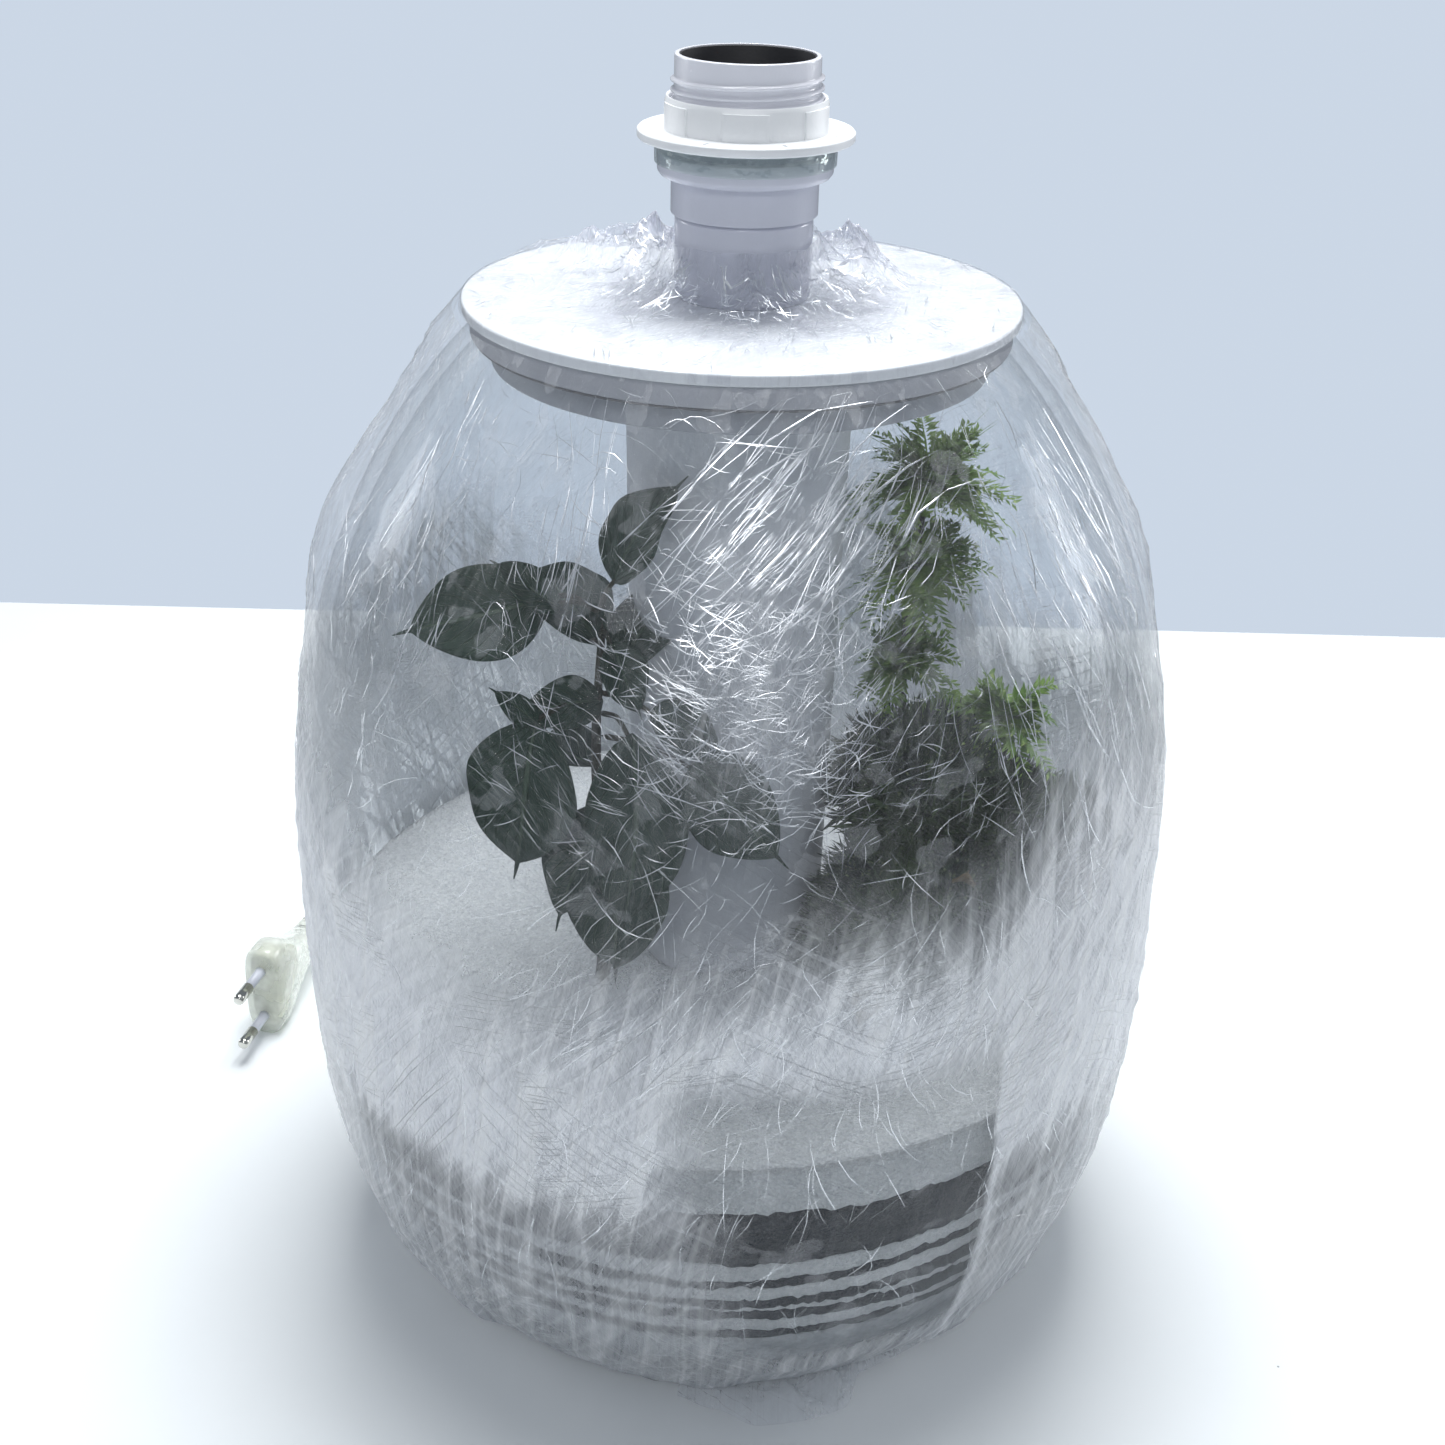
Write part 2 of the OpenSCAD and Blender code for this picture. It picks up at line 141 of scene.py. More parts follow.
class Finish:
    """A material that is built node by node, and kept in FINISH under its slot's name."""

    def __init__(self, name):
        material = bpy.data.materials.new(name)
        material.use_nodes = True
        self.tree = material.node_tree
        self.tree.nodes.clear()
        FINISH[name] = material
        here = self.node("ShaderNodeTexCoord")
        self.place, self.uv = here.outputs["Object"], here.outputs["UV"]

    def node(self, kind, sockets=None, **settings):
        """A node of this kind: its settings first, then the values or links of its sockets."""
        made = self.tree.nodes.new(kind)
        for key, value in settings.items():
            setattr(made, key, value)
        for key, value in (sockets or {}).items():
            value = getattr(value, "socket", value)
            if isinstance(value, bpy.types.NodeSocket):
                self.tree.links.new(value, made.inputs[key])
            else:
                made.inputs[key].default_value = value
        return made

    def noise(self, vector, scale, detail=2.0, roughness=0.5):
        """Soft random patches: scale is how many fit in one unit of the vector."""
        sockets = {"Vector": vector, "Scale": scale, "Detail": detail, "Roughness": roughness}
        return Value(self, self.node("ShaderNodeTexNoise", sockets).outputs[0])

    def grains(self, scale, output="Distance"):
        """Separate round grains: the distance to the nearest grain's middle, or its random colour."""
        sockets = {"Vector": self.place, "Scale": scale}
        return Value(self, self.node("ShaderNodeTexVoronoi", sockets).outputs[output])

    def turned(self, vector, size, turn=0.0, shift=0.0):
        """The vector measured in steps of size along axes turned by this angle."""
        sockets = {"Vector": vector, "Location": (shift, 0.37 * shift, 0), "Scale": (*size, 1),
                   "Rotation": (0, 0, math.radians(turn))}
        return self.node("ShaderNodeMapping", sockets, vector_type="TEXTURE").outputs[0]

    def warped(self, vector, scale, amount):
        """The vector pushed aside by up to amount, so that straight marks bend."""
        drift = self.node("ShaderNodeTexNoise", {"Vector": vector, "Scale": scale, "Detail": 1.0})
        sockets = {0: drift.outputs[1], 1: (amount,) * 3, 2: vector}
        return self.node("ShaderNodeVectorMath", sockets, operation="MULTIPLY_ADD").outputs[0]

    def hairs(self, vector, length, width, turn, shift, sharp=14.0):
        """Thin long marks, from 0 to 1: the middle line of a noise that is stretched along one way."""
        along = self.noise(self.turned(vector, (length, width), turn, shift), 1.0, 1.0)
        return (1 - abs(along - 0.5) * sharp).clipped()

    def blend(self, amount, first, second):
        """A colour between two others, each a triple or a colour socket."""
        sockets = {0: amount, 6: with_alpha(first), 7: with_alpha(second)}
        return self.node("ShaderNodeMix", sockets, data_type="RGBA").outputs[2]

    def bump(self, height, depth):
        """A normal from this height, 0 to 1, times depth in metres."""
        sockets = {"Height": height, "Distance": depth, "Strength": 1.0}
        return self.node("ShaderNodeBump", sockets).outputs[0]

    def surface(self, colour, roughness, **constants):
        """A Principled shader; constants are its other sockets, named with underscores."""
        sockets = {"Base Color": with_alpha(colour), "Roughness": roughness}
        for key, value in constants.items():
            sockets[key.replace("_", " ")] = value
        return self.node("ShaderNodeBsdfPrincipled", sockets).outputs[0]

    def clear(self, tint, roughness, low, high, normal=None):
        """A thin clear wall that doesn't bend light: it lets the tint through and mirrors more towards its
        edges, from low to high, along the fourth power of how far it turns away."""
        turned_away = Value(self, self.node("ShaderNodeLayerWeight", {"Blend": 0.5}).outputs["Facing"])
        share = (low + turned_away ** 4 * (high - low)).clipped()
        through = self.node("ShaderNodeBsdfTransparent", {"Color": (*tint, 1)}).outputs[0]
        sockets = {"Color": (1, 1, 1, 1), "Roughness": roughness}
        if normal is not None:
            sockets["Normal"] = normal
        shine = self.node("ShaderNodeBsdfAnisotropic", sockets).outputs[0]
        return self.mixed(share, through, shine)

    def mixed(self, share, first, second):
        """Two shaders mixed by a share, 0 for the first."""
        return self.node("ShaderNodeMixShader", {0: share, 1: first, 2: second}).outputs[0]

    def done(self, shader):
        """Puts the shader on the material's output."""
        self.node("ShaderNodeOutputMaterial", {"Surface": shader})


# %% [markdown]
# ## Glass, film and clear plastic
# Real glass bends light, but a planted barrel behind two refracting walls and a film needs thousands of
# samples to come out clean. The walls are thin and nearly parallel, so what is behind them hardly shifts.
# They are therefore shaded as thin sheets: transparent, with a mirror share that grows towards the edge.

# %% Finish of the blown glass
def glass_finish():
    """Clear glass, slightly wavy as blown glass is."""
    finish = Finish("clear_glass")
    wave = finish.noise(finish.place, 22, 1)
    finish.done(finish.clear((0.955, 0.962, 0.966), 0.08, 0.004, 0.32, finish.bump(wave, 0.003)))


# %% [markdown]
# Stretch film is clear where one layer lies flat, and turns white where layers bunch, where it is stretched
# into fine fibres, and along each crease. The bunching is laid out by an attribute on the mesh, which also
# carries painted light: a painted highlight at the front and painted sheen at the sides. The fibres are
# stretched noises at a few wrapping angles, since the film goes round in slanting turns.

# %% Finish of the stretch film
def film_finish(name, dull, bright):
    """Clear film with white fibres, hairline creases, a soft white veil and faint patches where it sticks.
    How white it is comes from the attribute on the mesh, which also holds painted light. Each kind of mark
    is a noise stretched to a length and a width in metres, and turned by degrees."""
    finish = Finish(name)
    haze_and_painted_light = Value(finish, finish.node("ShaderNodeAttribute", attribute_name="haze_and_painted_light").outputs["Fac"])
    bent = finish.warped(finish.uv, 9, 0.022)
    cloud = finish.noise(bent, 34, 3, 0.6)
    broad = finish.noise(finish.uv, 12, 1)
    fibre = finish.noise(finish.turned(bent, (0.075, 0.00085), 78, 0.3), 1, 3, 0.7)
    weave = finish.noise(finish.turned(bent, (0.06, 0.0008), 118, 2.1), 1, 3, 0.7)
    ribbon = finish.hairs(bent, 0.110, 0.0090, 82, 6.1, 13)
    ribbon = ribbon + finish.hairs(bent, 0.09, 0.0080, 48, 3.3, 13) * 0.6
    fuzz = (fibre + weave + cloud * 0.7 - 0.95).clipped()
    lines = finish.hairs(bent, 0.085, 0.0040, 50, 1.7, 34) * broad.over(0.48, 0.62)
    lines = lines + finish.hairs(bent, 0.070, 0.0034, 148, 5.2, 34) * broad.over(0.55, 0.42)
    lines = lines + finish.hairs(bent, 0.110, 0.0042, 86, 9.4, 34) * 0.5
    thread = finish.hairs(bent, 0.022, 0.0020, 12, 8.8, 30) * cloud.over(0.5, 0.62)
    white = haze_and_painted_light * (0.62 + 0.85 * fuzz + 0.55 * ribbon)
    white = white + lines * (0.06 + 0.40 * haze_and_painted_light) + thread * haze_and_painted_light * 0.5
    stuck = finish.noise(finish.uv, 75, 2).over(0.585, 0.60) * haze_and_painted_light.over(0.20, 0.02)
    cover = (white + stuck * 0.13).clipped()
    height = finish.noise(finish.turned(bent, (0.012, 0.003), 60, 3.3), 1, 3) + lines * 0.2 + ribbon * 0.3
    normal = finish.bump(height + fuzz * 0.4 + thread * 0.2, 0.0014)
    clear = finish.clear((0.965, 0.97, 0.978), 0.12, 0.012, 0.42, normal)
    tone = finish.blend((fuzz + ribbon * 0.4).clipped(), dull, bright)
    milky = finish.surface(tone, 0.30, Normal=normal, Specular_IOR_Level=0.7)
    finish.done(finish.mixed(cover * 0.94, clear, milky))


def crease_finish():
    """The raised hairline creases: film folded on itself, so bright and glossy."""
    finish = Finish("film_crease")
    patch = finish.noise(finish.place, 150, 2)
    shown = patch.over(0.32, 0.54) * 0.95
    finish.done(finish.surface((0.95, 0.97, 1.0), 0.27, Metallic=0.7, Alpha=shown))


def clear_plastic_finishes():
    """The washer under the shade ring, and the moulded plug, which is greenish and cloudy."""
    finish = Finish("clear_washer")
    wave = finish.noise(finish.place, 190, 2)
    finish.done(finish.clear((0.90, 0.93, 0.92), 0.06, 0.10, 0.9, finish.bump(wave, 0.0006)))
    finish = Finish("plug_clear")
    cloud = finish.noise(finish.place, 130, 2)
    milk = finish.surface(finish.blend(cloud, (0.76, 0.78, 0.72), (0.90, 0.91, 0.87)), 0.25, Coat_Weight=0.4)
    shell = finish.clear((0.95, 0.965, 0.92), 0.12, 0.05, 0.8, finish.bump(cloud, 0.0005))
    finish.done(finish.mixed(cloud.over(0.2, 0.8) * 0.35 + 0.2, shell, milk))


# %% [markdown]
# ## Sand, plastics and metals
# Each sand is a close pack of grains: every grain has its own grey, and the gaps between them are bump.
# The mouldings are plain plastic, so what makes them look real is small: a faint orange-peel bump, cloudy
# gloss, and a little dust. The metals are brushed or plated.

# %% Finishes of the sand
SAND_GRAIN, GRAVEL_GRAIN = 0.0009, 0.0026


def sand_finish(name, grain, dull, bright, speck, rare, side_shade=0.0):
    """Grains between a dull and a bright colour, with a rare grain of the other sand. Where it stands
    upright against the glass it is darkened by the share that the last argument gives: painted shade, so
    that its sides look darker than its top."""
    finish = Finish(name)
    shade = finish.grains(1 / grain, "Color")
    patch = finish.noise(finish.place, 60, 4)
    tone = finish.blend((shade * 0.75 + patch * 0.5 - 0.1).clipped(), dull, bright)
    stray = finish.grains(0.45 / grain, "Color").over(rare, rare + 0.01)
    tone = finish.blend(stray * patch.over(0.38, 0.6), tone, speck)
    facing = finish.node("ShaderNodeNewGeometry").outputs["True Normal"]
    level = Value(finish, finish.node("ShaderNodeSeparateXYZ", {0: facing}).outputs[2])
    # painted shade: where the surface stands upright, against the glass, the grains are darkened towards
    # black
    tone = finish.blend(level.over(0.6, 0.2) * side_shade, tone, (0.0, 0.0, 0.0))
    normal = finish.bump(finish.grains(1 / grain), 0.6 * grain)
    finish.done(finish.surface(tone, 0.75 + patch * 0.2, Normal=normal))


def sand_finishes():
    """White sand, black sand and the pale gravel below them."""
    # the white sand and gravel get painted shade on their upright sides
    sand_finish("white_sand", SAND_GRAIN, (0.60, 0.61, 0.63), (0.90, 0.90, 0.89), (0.08, 0.08, 0.08), 0.985,
                side_shade=0.26)
    sand_finish("black_sand", SAND_GRAIN, (0.014, 0.015, 0.018), (0.075, 0.078, 0.085), (0.5, 0.5, 0.5),
                0.975)
    sand_finish("gravel", GRAVEL_GRAIN, (0.55, 0.56, 0.57), (0.82, 0.83, 0.84), (0.3, 0.3, 0.3), 0.97,
                side_shade=0.2)


# %% Finishes of the mouldings, rubber and metal
PEEL = 0.00006
SHOULDER_DOWN = 0.024


def moulding(name, colour, shade, roughness, **constants):
    """Moulded plastic or rubber: two near colours, cloudy gloss and an orange-peel bump."""
    finish = Finish(name)
    patch = finish.noise(finish.place, 45, 3)
    fine = finish.noise(finish.place, 900, 2)
    tone = finish.blend(patch.over(0.3, 0.7), colour, shade)
    normal = finish.bump(fine, PEEL)
    finish.done(finish.surface(tone, roughness * (0.8 + 0.4 * patch), Normal=normal, **constants))


def holder_finish():
    """Glossy lavender-white plastic of one colour. Below the shoulder it is coloured darker as painted
    shade, cast by the shade ring's flange, and the threaded neck keeps the paler colour.
    """
    finish = Finish("holder_white")
    height = Value(finish, finish.node("ShaderNodeSeparateXYZ", {0: finish.place}).outputs[2])
    patch = finish.noise(finish.place, 45, 3)
    shoulder = MOUTH_Z - SHOULDER_DOWN
    # painted shade: below the shoulder the same plastic is coloured darker, as shade from the flange above
    above_painted_shade = height.over(shoulder - 0.0005, shoulder + 0.0005)
    tone = finish.blend(above_painted_shade, (0.63, 0.64, 0.72), (0.86, 0.86, 0.92))
    normal = finish.bump(finish.noise(finish.place, 900, 2), PEEL)
    finish.done(finish.surface(tone, 0.2 + 0.1 * patch, Normal=normal, Coat_Weight=0.3))


def metal(name, colour, shade, roughness):
    """Plated or brushed metal with faint handling marks."""
    finish = Finish(name)
    patch = finish.noise(finish.place, 260, 3)
    tone = finish.blend(patch, colour, shade)
    gloss = roughness * (0.7 + 0.6 * finish.noise(finish.place, 1200, 2))
    finish.done(finish.surface(tone, gloss, Metallic=1.0, Normal=finish.bump(patch, 0.00005)))


def moulding_finishes():
    """All the plain plastics and metals, by slot."""
    moulding("column_white", (0.74, 0.75, 0.78), (0.66, 0.67, 0.71), 0.42)
    moulding("lid_white", (0.90, 0.92, 0.94), (0.84, 0.86, 0.89), 0.28)
    # painted shade: the lid's rim is the lid's white plastic, coloured as a darker grey copy where it lies
    # in shade under the lid's edge
    moulding("rim_painted_shade", (0.46, 0.47, 0.51), (0.40, 0.41, 0.45), 0.36)
    moulding("ring_white", (0.93, 0.94, 0.95), (0.88, 0.89, 0.90), 0.40)
    moulding("holder_black", (0.006, 0.006, 0.009), (0.010, 0.010, 0.013), 0.62)
    moulding("seal_rubber", (0.16, 0.16, 0.17), (0.22, 0.22, 0.23), 0.70)
    moulding("pin_sleeve", (0.62, 0.64, 0.70), (0.52, 0.54, 0.60), 0.35)
    moulding("cord_pvc", (0.80, 0.82, 0.78), (0.70, 0.73, 0.68), 0.26, Coat_Weight=0.35,
             Subsurface_Weight=0.15)
    moulding("plug_insert", (0.80, 0.80, 0.70), (0.70, 0.71, 0.64), 0.50)
    metal("contact_brass", (0.72, 0.56, 0.28), (0.60, 0.45, 0.20), 0.30)
    metal("plated_steel", (0.72, 0.72, 0.72), (0.60, 0.60, 0.61), 0.32)
    metal("pin_metal", (0.74, 0.73, 0.68), (0.55, 0.54, 0.50), 0.16)


# %% [markdown]
# ## Greenery
# The leaves are moulded fabric: dark, slightly glossy, with a pale midrib and side veins that slant towards
# the tip. The veins follow the leaf, so they are drawn on the leaf's own UV: s along it, w across it.

# %% Finishes of the plants
def leaf_finish():
    """Dark blue-green leaf with veins."""
    finish = Finish("dark_leaf")
    parts = finish.node("ShaderNodeSeparateXYZ", {0: finish.uv})
    along, across = Value(finish, parts.outputs[0]), Value(finish, parts.outputs[1])
    side = abs(across - 0.5)
    wave = (along * 9 - side * 7).fraction() - 0.5
    vein = abs(wave).over(0.40, 0.5) * 0.6
    rib = side.over(0.035, 0.012)
    mark = (vein + rib).clipped()
    patch = finish.noise(finish.place, 90, 3)
    tone = finish.blend(patch, (0.018, 0.040, 0.028), (0.040, 0.075, 0.045))
    tone = finish.blend(mark * 0.55, tone, (0.10, 0.15, 0.09))
    normal = finish.bump(1 - mark + patch * 0.3, 0.0004)
    finish.done(finish.surface(tone, 0.38 + patch * 0.2, Normal=normal))


def foliage_finish(name, dark, light, tip):
    """Small leaves: the colour wanders from dark to light over a few millimetres, with some pale tips."""
    finish = Finish(name)
    patch = finish.noise(finish.place, 55, 3)
    spot = finish.noise(finish.place, 420, 2)
    tone = finish.blend(patch.over(0.35, 0.65), dark, light)
    tone = finish.blend(spot.over(0.55, 0.75), tone, tip)
    finish.done(finish.surface(tone, 0.45 + 0.2 * spot, Normal=finish.bump(spot, 0.0003)))


def plant_finishes():
    """Leaf, fern, moss, dead leaf and stem."""
    leaf_finish()
    foliage_finish("fern_green", (0.11, 0.22, 0.03), (0.24, 0.38, 0.07), (0.44, 0.55, 0.18))
    foliage_finish("moss_green", (0.022, 0.042, 0.020), (0.075, 0.120, 0.040), (0.20, 0.26, 0.11))
    foliage_finish("dead_leaf", (0.22, 0.15, 0.06), (0.38, 0.28, 0.12), (0.50, 0.38, 0.2))
    foliage_finish("stem_brown", (0.030, 0.032, 0.020), (0.055, 0.055, 0.030), (0.09, 0.08, 0.05))


# %% Make every finish
glass_finish()
film_finish("stretch_film", (0.84, 0.86, 0.92), (0.97, 0.98, 1.0))
# The film over the lid gets a darker grey copy of the film's colours: painted shade and painted reflection
# of the wall in its crumples over the white lid.
film_finish("hood_film_painted_shade", (0.46, 0.47, 0.56), (0.70, 0.71, 0.80))
crease_finish()
clear_plastic_finishes()
sand_finishes()
moulding_finishes()
holder_finish()
plant_finishes()
print(len(FINISH), "finishes")

# %% [markdown]
# ## Grids and pieces
# Every new surface is a grid of points: rows go round, columns go along a profile. The faces of a grid are
# worked out from its row and column numbers alone, so one function serves a lathe form, a leaf and a film.

# %% Faces of a grid, and several grids as one
def grid_faces(rows, columns, round_rows=False, round_columns=False):
    """Four corners a face, in the order that makes rows x columns point outwards."""
    row, column = np.arange(rows - (not round_rows)), np.arange(columns - (not round_columns))
    i, j = np.meshgrid(row, column, indexing="ij")
    ahead, above = (i + 1) % rows, (j + 1) % columns
    corners = (i * columns + j, ahead * columns + j, ahead * columns + above, i * columns + above)
    return np.stack(corners, -1).reshape(-1, 4)


def stacked(parts):
    """Several (points, faces) pairs as one, with the faces' numbers moved on."""
    starts = np.cumsum([0] + [len(points) for points, _ in parts[:-1]])
    points = np.concatenate([points for points, _ in parts])
    return points, np.concatenate([faces + start for (_, faces), start in zip(parts, starts)])


# %% A piece of the lamp
def piece(name, points, faces, body, slot, replaces=(), finish=None, uv=None, weld=True, recalculate=False):
    """Makes the mesh at its place, gives it its finish, and says what it rides on and stands for. uv has
    two numbers for each corner of each face."""
    mesh = bpy.data.meshes.new(name)
    mesh.from_pydata(np.asarray(points, float).tolist(), [], np.asarray(faces).tolist())
    if uv is not None:
        layer = mesh.uv_layers.new(name="film" if slot == "stretch_film" else "leaf")
        layer.data.foreach_set("uv", np.asarray(uv, np.float32).ravel())
    if weld:
        work = bmesh.new()
        work.from_mesh(mesh)
        bmesh.ops.remove_doubles(work, verts=work.verts, dist=1e-6)
        if recalculate:
            bmesh.ops.recalc_face_normals(work, faces=work.faces)
        work.to_mesh(mesh)
        work.free()
    mesh.polygons.foreach_set("use_smooth", np.ones(len(mesh.polygons), bool))
    mesh.materials.append(FINISH[finish or slot])
    made = bpy.data.objects.new(name, mesh)
    bpy.context.collection.objects.link(made)
    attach(made, body)
    if replaces:
        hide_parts(*replaces)
    return made


# %% Lathe forms
def rounded(corners, steps=4):
    """A closed outline from (radius, height, rounding) corners in millimetres, anticlockwise. Each corner is
    a parabola that leaves its two sides one rounding away from it."""
    corner = np.array(corners, float) * MM
    point, cut = corner[:, :2], corner[:, 2:]
    back, ahead = np.roll(point, 1, 0) - point, np.roll(point, -1, 0) - point
    start = point + back / np.linalg.norm(back, axis=1, keepdims=True) * cut
    end = point + ahead / np.linalg.norm(ahead, axis=1, keepdims=True) * cut
    s = np.linspace(0, 1, steps + 1)[None, :, None]
    curve = (1 - s) ** 2 * start[:, None] + 2 * s * (1 - s) * point[:, None] + s ** 2 * end[:, None]
    return curve.reshape(-1, 2)


def revolved(outline, turns=160):
    """The outline carried round the lamp's axis: x = r cos t, y = r sin t, and z as it is."""
    t = np.linspace(0, 2 * np.pi, turns, endpoint=False)[:, None]
    r, z = outline[None, :, 0], outline[None, :, 1]
    points = np.stack(np.broadcast_arrays(r * np.cos(t), r * np.sin(t), z), -1)
    return points.reshape(-1, 3), grid_faces(turns, len(outline), True, True)


# %% Random surfaces
def hills(a, b, seed, rows, columns):
    """Soft hills from 0 to 1 over whole-number cells: random heights that repeat every rows and columns,
    joined by a smooth step each way."""
    height = np.random.default_rng(seed).random((rows, columns))
    i, j = np.floor(a).astype(int), np.floor(b).astype(int)
    u, v = a - i, b - j
    u, v = u * u * (3 - 2 * u), v * v * (3 - 2 * v)
    near = height[i % rows, j % columns] * (1 - u) + height[(i + 1) % rows, j % columns] * u
    far = height[i % rows, (j + 1) % columns] * (1 - u) + height[(i + 1) % rows, (j + 1) % columns] * u
    return near * (1 - v) + far * v


def ridges(a, b, seed, rows, columns):
    """Sharp ridges from 0 to 1, along the middle level of the hills."""
    return 1 - abs(2 * hills(a, b, seed, rows, columns) - 1)


def bell(x, middle, width):
    """A smooth bump of height 1: e to the minus square of the distance in widths."""
    return np.exp(-(((x - middle) / width) ** 2))


def smooth_step(x, low, high):
    """0 at low, 1 at high, and 3 s^2 - 2 s^3 between, where s is the share of the way."""
    s = np.clip((x - low) / (high - low), 0, 1)
    return s * s * (3 - 2 * s)


# %% [markdown]
# ## The mains cord
# The cord leaves the back of the glass through a tapered relief. Its spare length is wound in a neat coil
# behind the lamp, three turns wide and three layers high, and its end runs along the table to the plug.
# The coil is worked out turn by turn: a turn keeps its radius and then shifts one cord's width in a sixth
# of a turn, and a layer ends in a third of a turn that sinks one cord's width.

# %% Cord: sizes and the free stretches
CORD_D = 0.0056
COIL_X, COIL_Y = (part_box("cord_coil")[0].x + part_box("cord_coil")[1].x) / 2, 0.162
TURN_R = [0.0252, 0.0308, 0.0364]
LAYER_Z = [0.0140, 0.0084, 0.0028]
COIL_END, COIL_STEP = 2970, 10
LEAD_START, LEAD_Z, LEAD_RUN = 0.139, 0.021, 0.045
# the free stretch from the coil to the plug, in millimetres
TAIL = [[-44, 200.5, 2.8], [-56, 201, 2.8], [-70, 200.5, 2.8], [-88, 199, 2.8], [-104, 195.5, 2.8],
        [-118, 189.5, 2.8], [-130, 181, 3], [-137, 173, 4.6], [-142.5, 164.5, 7.8], [-146, 156, 11.6],
        [-149, 147.5, 15.2], [-151, 139, 17.2], [-152.8, 130, 17.6]]


def still_up(travelled):
    """How far the cord is above the coil's top layer: it sinks smoothly over its first LEAD_RUN."""
    return (LEAD_Z - LAYER_Z[0]) * (1 - smooth_step(travelled / LEAD_RUN, 0.04, 1))


# %% Cord: the coil by angle
def coil_line():
    """Points every few degrees. Radius and height are steps of the angle: each shift of radius takes 60
    degrees, and each sinking takes 120, and no two stretches share a place."""
    a = np.arange(0, COIL_END + 1, COIL_STEP, dtype=float)
    shifts = [(300, 0, 1), (660, 1, 2), (1320, 2, 1), (1680, 1, 0), (2340, 0, 1), (2700, 1, 2)]
    r = np.full(a.shape, TURN_R[0])
    for start, old, new in shifts:
        r += (TURN_R[new] - TURN_R[old]) * smooth_step(a, start, start + 60)
    z = np.full(a.shape, LAYER_Z[0])
    for start, layer in ((960, 0), (1980, 1)):
        z += (LAYER_Z[layer + 1] - LAYER_Z[layer]) * smooth_step(a, start, start + 120)
    t = np.radians(a)
    z += still_up(TURN_R[0] * t + COIL_Y - LEAD_START)
    return np.stack([COIL_X + r * np.cos(t), COIL_Y + r * np.sin(t), z], 1)


def cord_line():
    """The whole centreline: straight out of the relief, round the coil and on to the plug."""
    y = np.arange(LEAD_START, COIL_Y - 0.001, 0.0044)
    coil = coil_line()
    lead = np.stack([np.full(y.shape, coil[0, 0]), y, LAYER_Z[0] + still_up(y - LEAD_START)], 1)
    return np.concatenate([lead, coil, np.array(TAIL) * MM])


# %% Cord: the piece
line = cord_line()
curve = bpy.data.curves.new("mains_cord", "CURVE")
curve.dimensions, curve.use_fill_caps = "3D", True
curve.bevel_depth, curve.bevel_resolution = CORD_D / 2, 4
spline = curve.splines.new("POLY")
spline.points.add(len(line) - 1)
spline.points.foreach_set("co", np.c_[line, np.ones(len(line))].ravel())
spline.use_smooth = True
curve.materials.append(FINISH["cord_pvc"])
mains_cord = bpy.data.objects.new("mains_cord", curve)
bpy.context.collection.objects.link(mains_cord)
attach(mains_cord, "base")
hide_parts("cord_lead", "cord_coil", "cord_tail")

# %% [markdown]
# ## Strain relief and plug
# The relief is a soft sleeve with rings moulded round it, so that it bends a little at every ring. The plug
# is a flat moulded body: each slice is a rounded rectangle, and the slices shrink towards the cord. A cream
# insert that holds the pins shows through its clear moulding.

# %% Pieces along a line: rings of any section
def along_y(sections, corners, steps=40):
    """Slices square to Y. A section is (y, half width, half height) in millimetres, and its outline is a
    superellipse: cos and sin to the power 2 / corners, so a larger number has squarer corners."""
    section = np.array(sections, float)
    t = np.linspace(0, 2 * np.pi, steps, endpoint=False)
    x = np.sign(np.cos(t)) * abs(np.cos(t)) ** (2 / corners)
    z = np.sign(np.sin(t)) * abs(np.sin(t)) ** (2 / corners)
    y = np.broadcast_to(section[:, :1], (len(section), steps))
    points = np.stack([section[:, 1:2] * x, y, section[:, 2:3] * z], -1) * MM
    return points.reshape(-1, 3), grid_faces(len(section), steps, False, True)


def closed_tube(sections, corners=2.0, steps=40):
    """Slices along Y with both ends drawn in to a point on the axis, so that nothing is left open."""
    first, last = sections[0], sections[-1]
    ends = [(first[0], 0, 0), *sections, (last[0], 0, 0)]
    return along_y(ends, corners, steps)


def round_slices(*pairs):
    """Round sections from (y, radius) pairs."""
    return [(y, radius, radius) for y, radius in pairs]


def moulded_rings(start, pitch, flat, count, radius, taper):
    """Rings in a row, each thinner than the last by the taper: a flat crest, a short slope and a groove."""
    groove, slope = 0.7, 0.3
    slices = []
    for ring in range(count):
        near, crest = start + pitch * ring, radius - taper * ring
        slices += round_slices((near, crest), (near + flat, crest), (near + flat + slope, crest - groove),
                               (near + pitch - slope, crest - groove))
    return slices


# %% Strain relief
relief = round_slices((100.2, 5.9), (113.9, 5.9), (114.5, 8.6), (114.9, 9.0), (116.6, 9.0), (117.0, 8.6),
                      (117.3, 5.4))
relief += moulded_rings(118.2, 2.8, 1.5, 7, 5.3, 0.24) + round_slices((138.2, 3.5), (138.8, 3.1))
points, faces = closed_tube(relief)
points[:, 2] += LEAD_Z
strain_relief = piece("strain_relief_sleeve", points, faces, "base", "cord_pvc", ["strain_relief"],
                      recalculate=True)

# %% The plug's own place
PLUG_PLACE, PLUG_TURN = np.array([-0.165, 0.072, 0.01765]), math.radians(-12)


def on_plug(points):
    """From the plug's own frame, pins along -Y, to the table behind the lamp."""
    c, s = math.cos(PLUG_TURN), math.sin(PLUG_TURN)
    x, y, z = points.T
    return np.stack([c * x - s * y, s * x + c * y, z], 1) + PLUG_PLACE


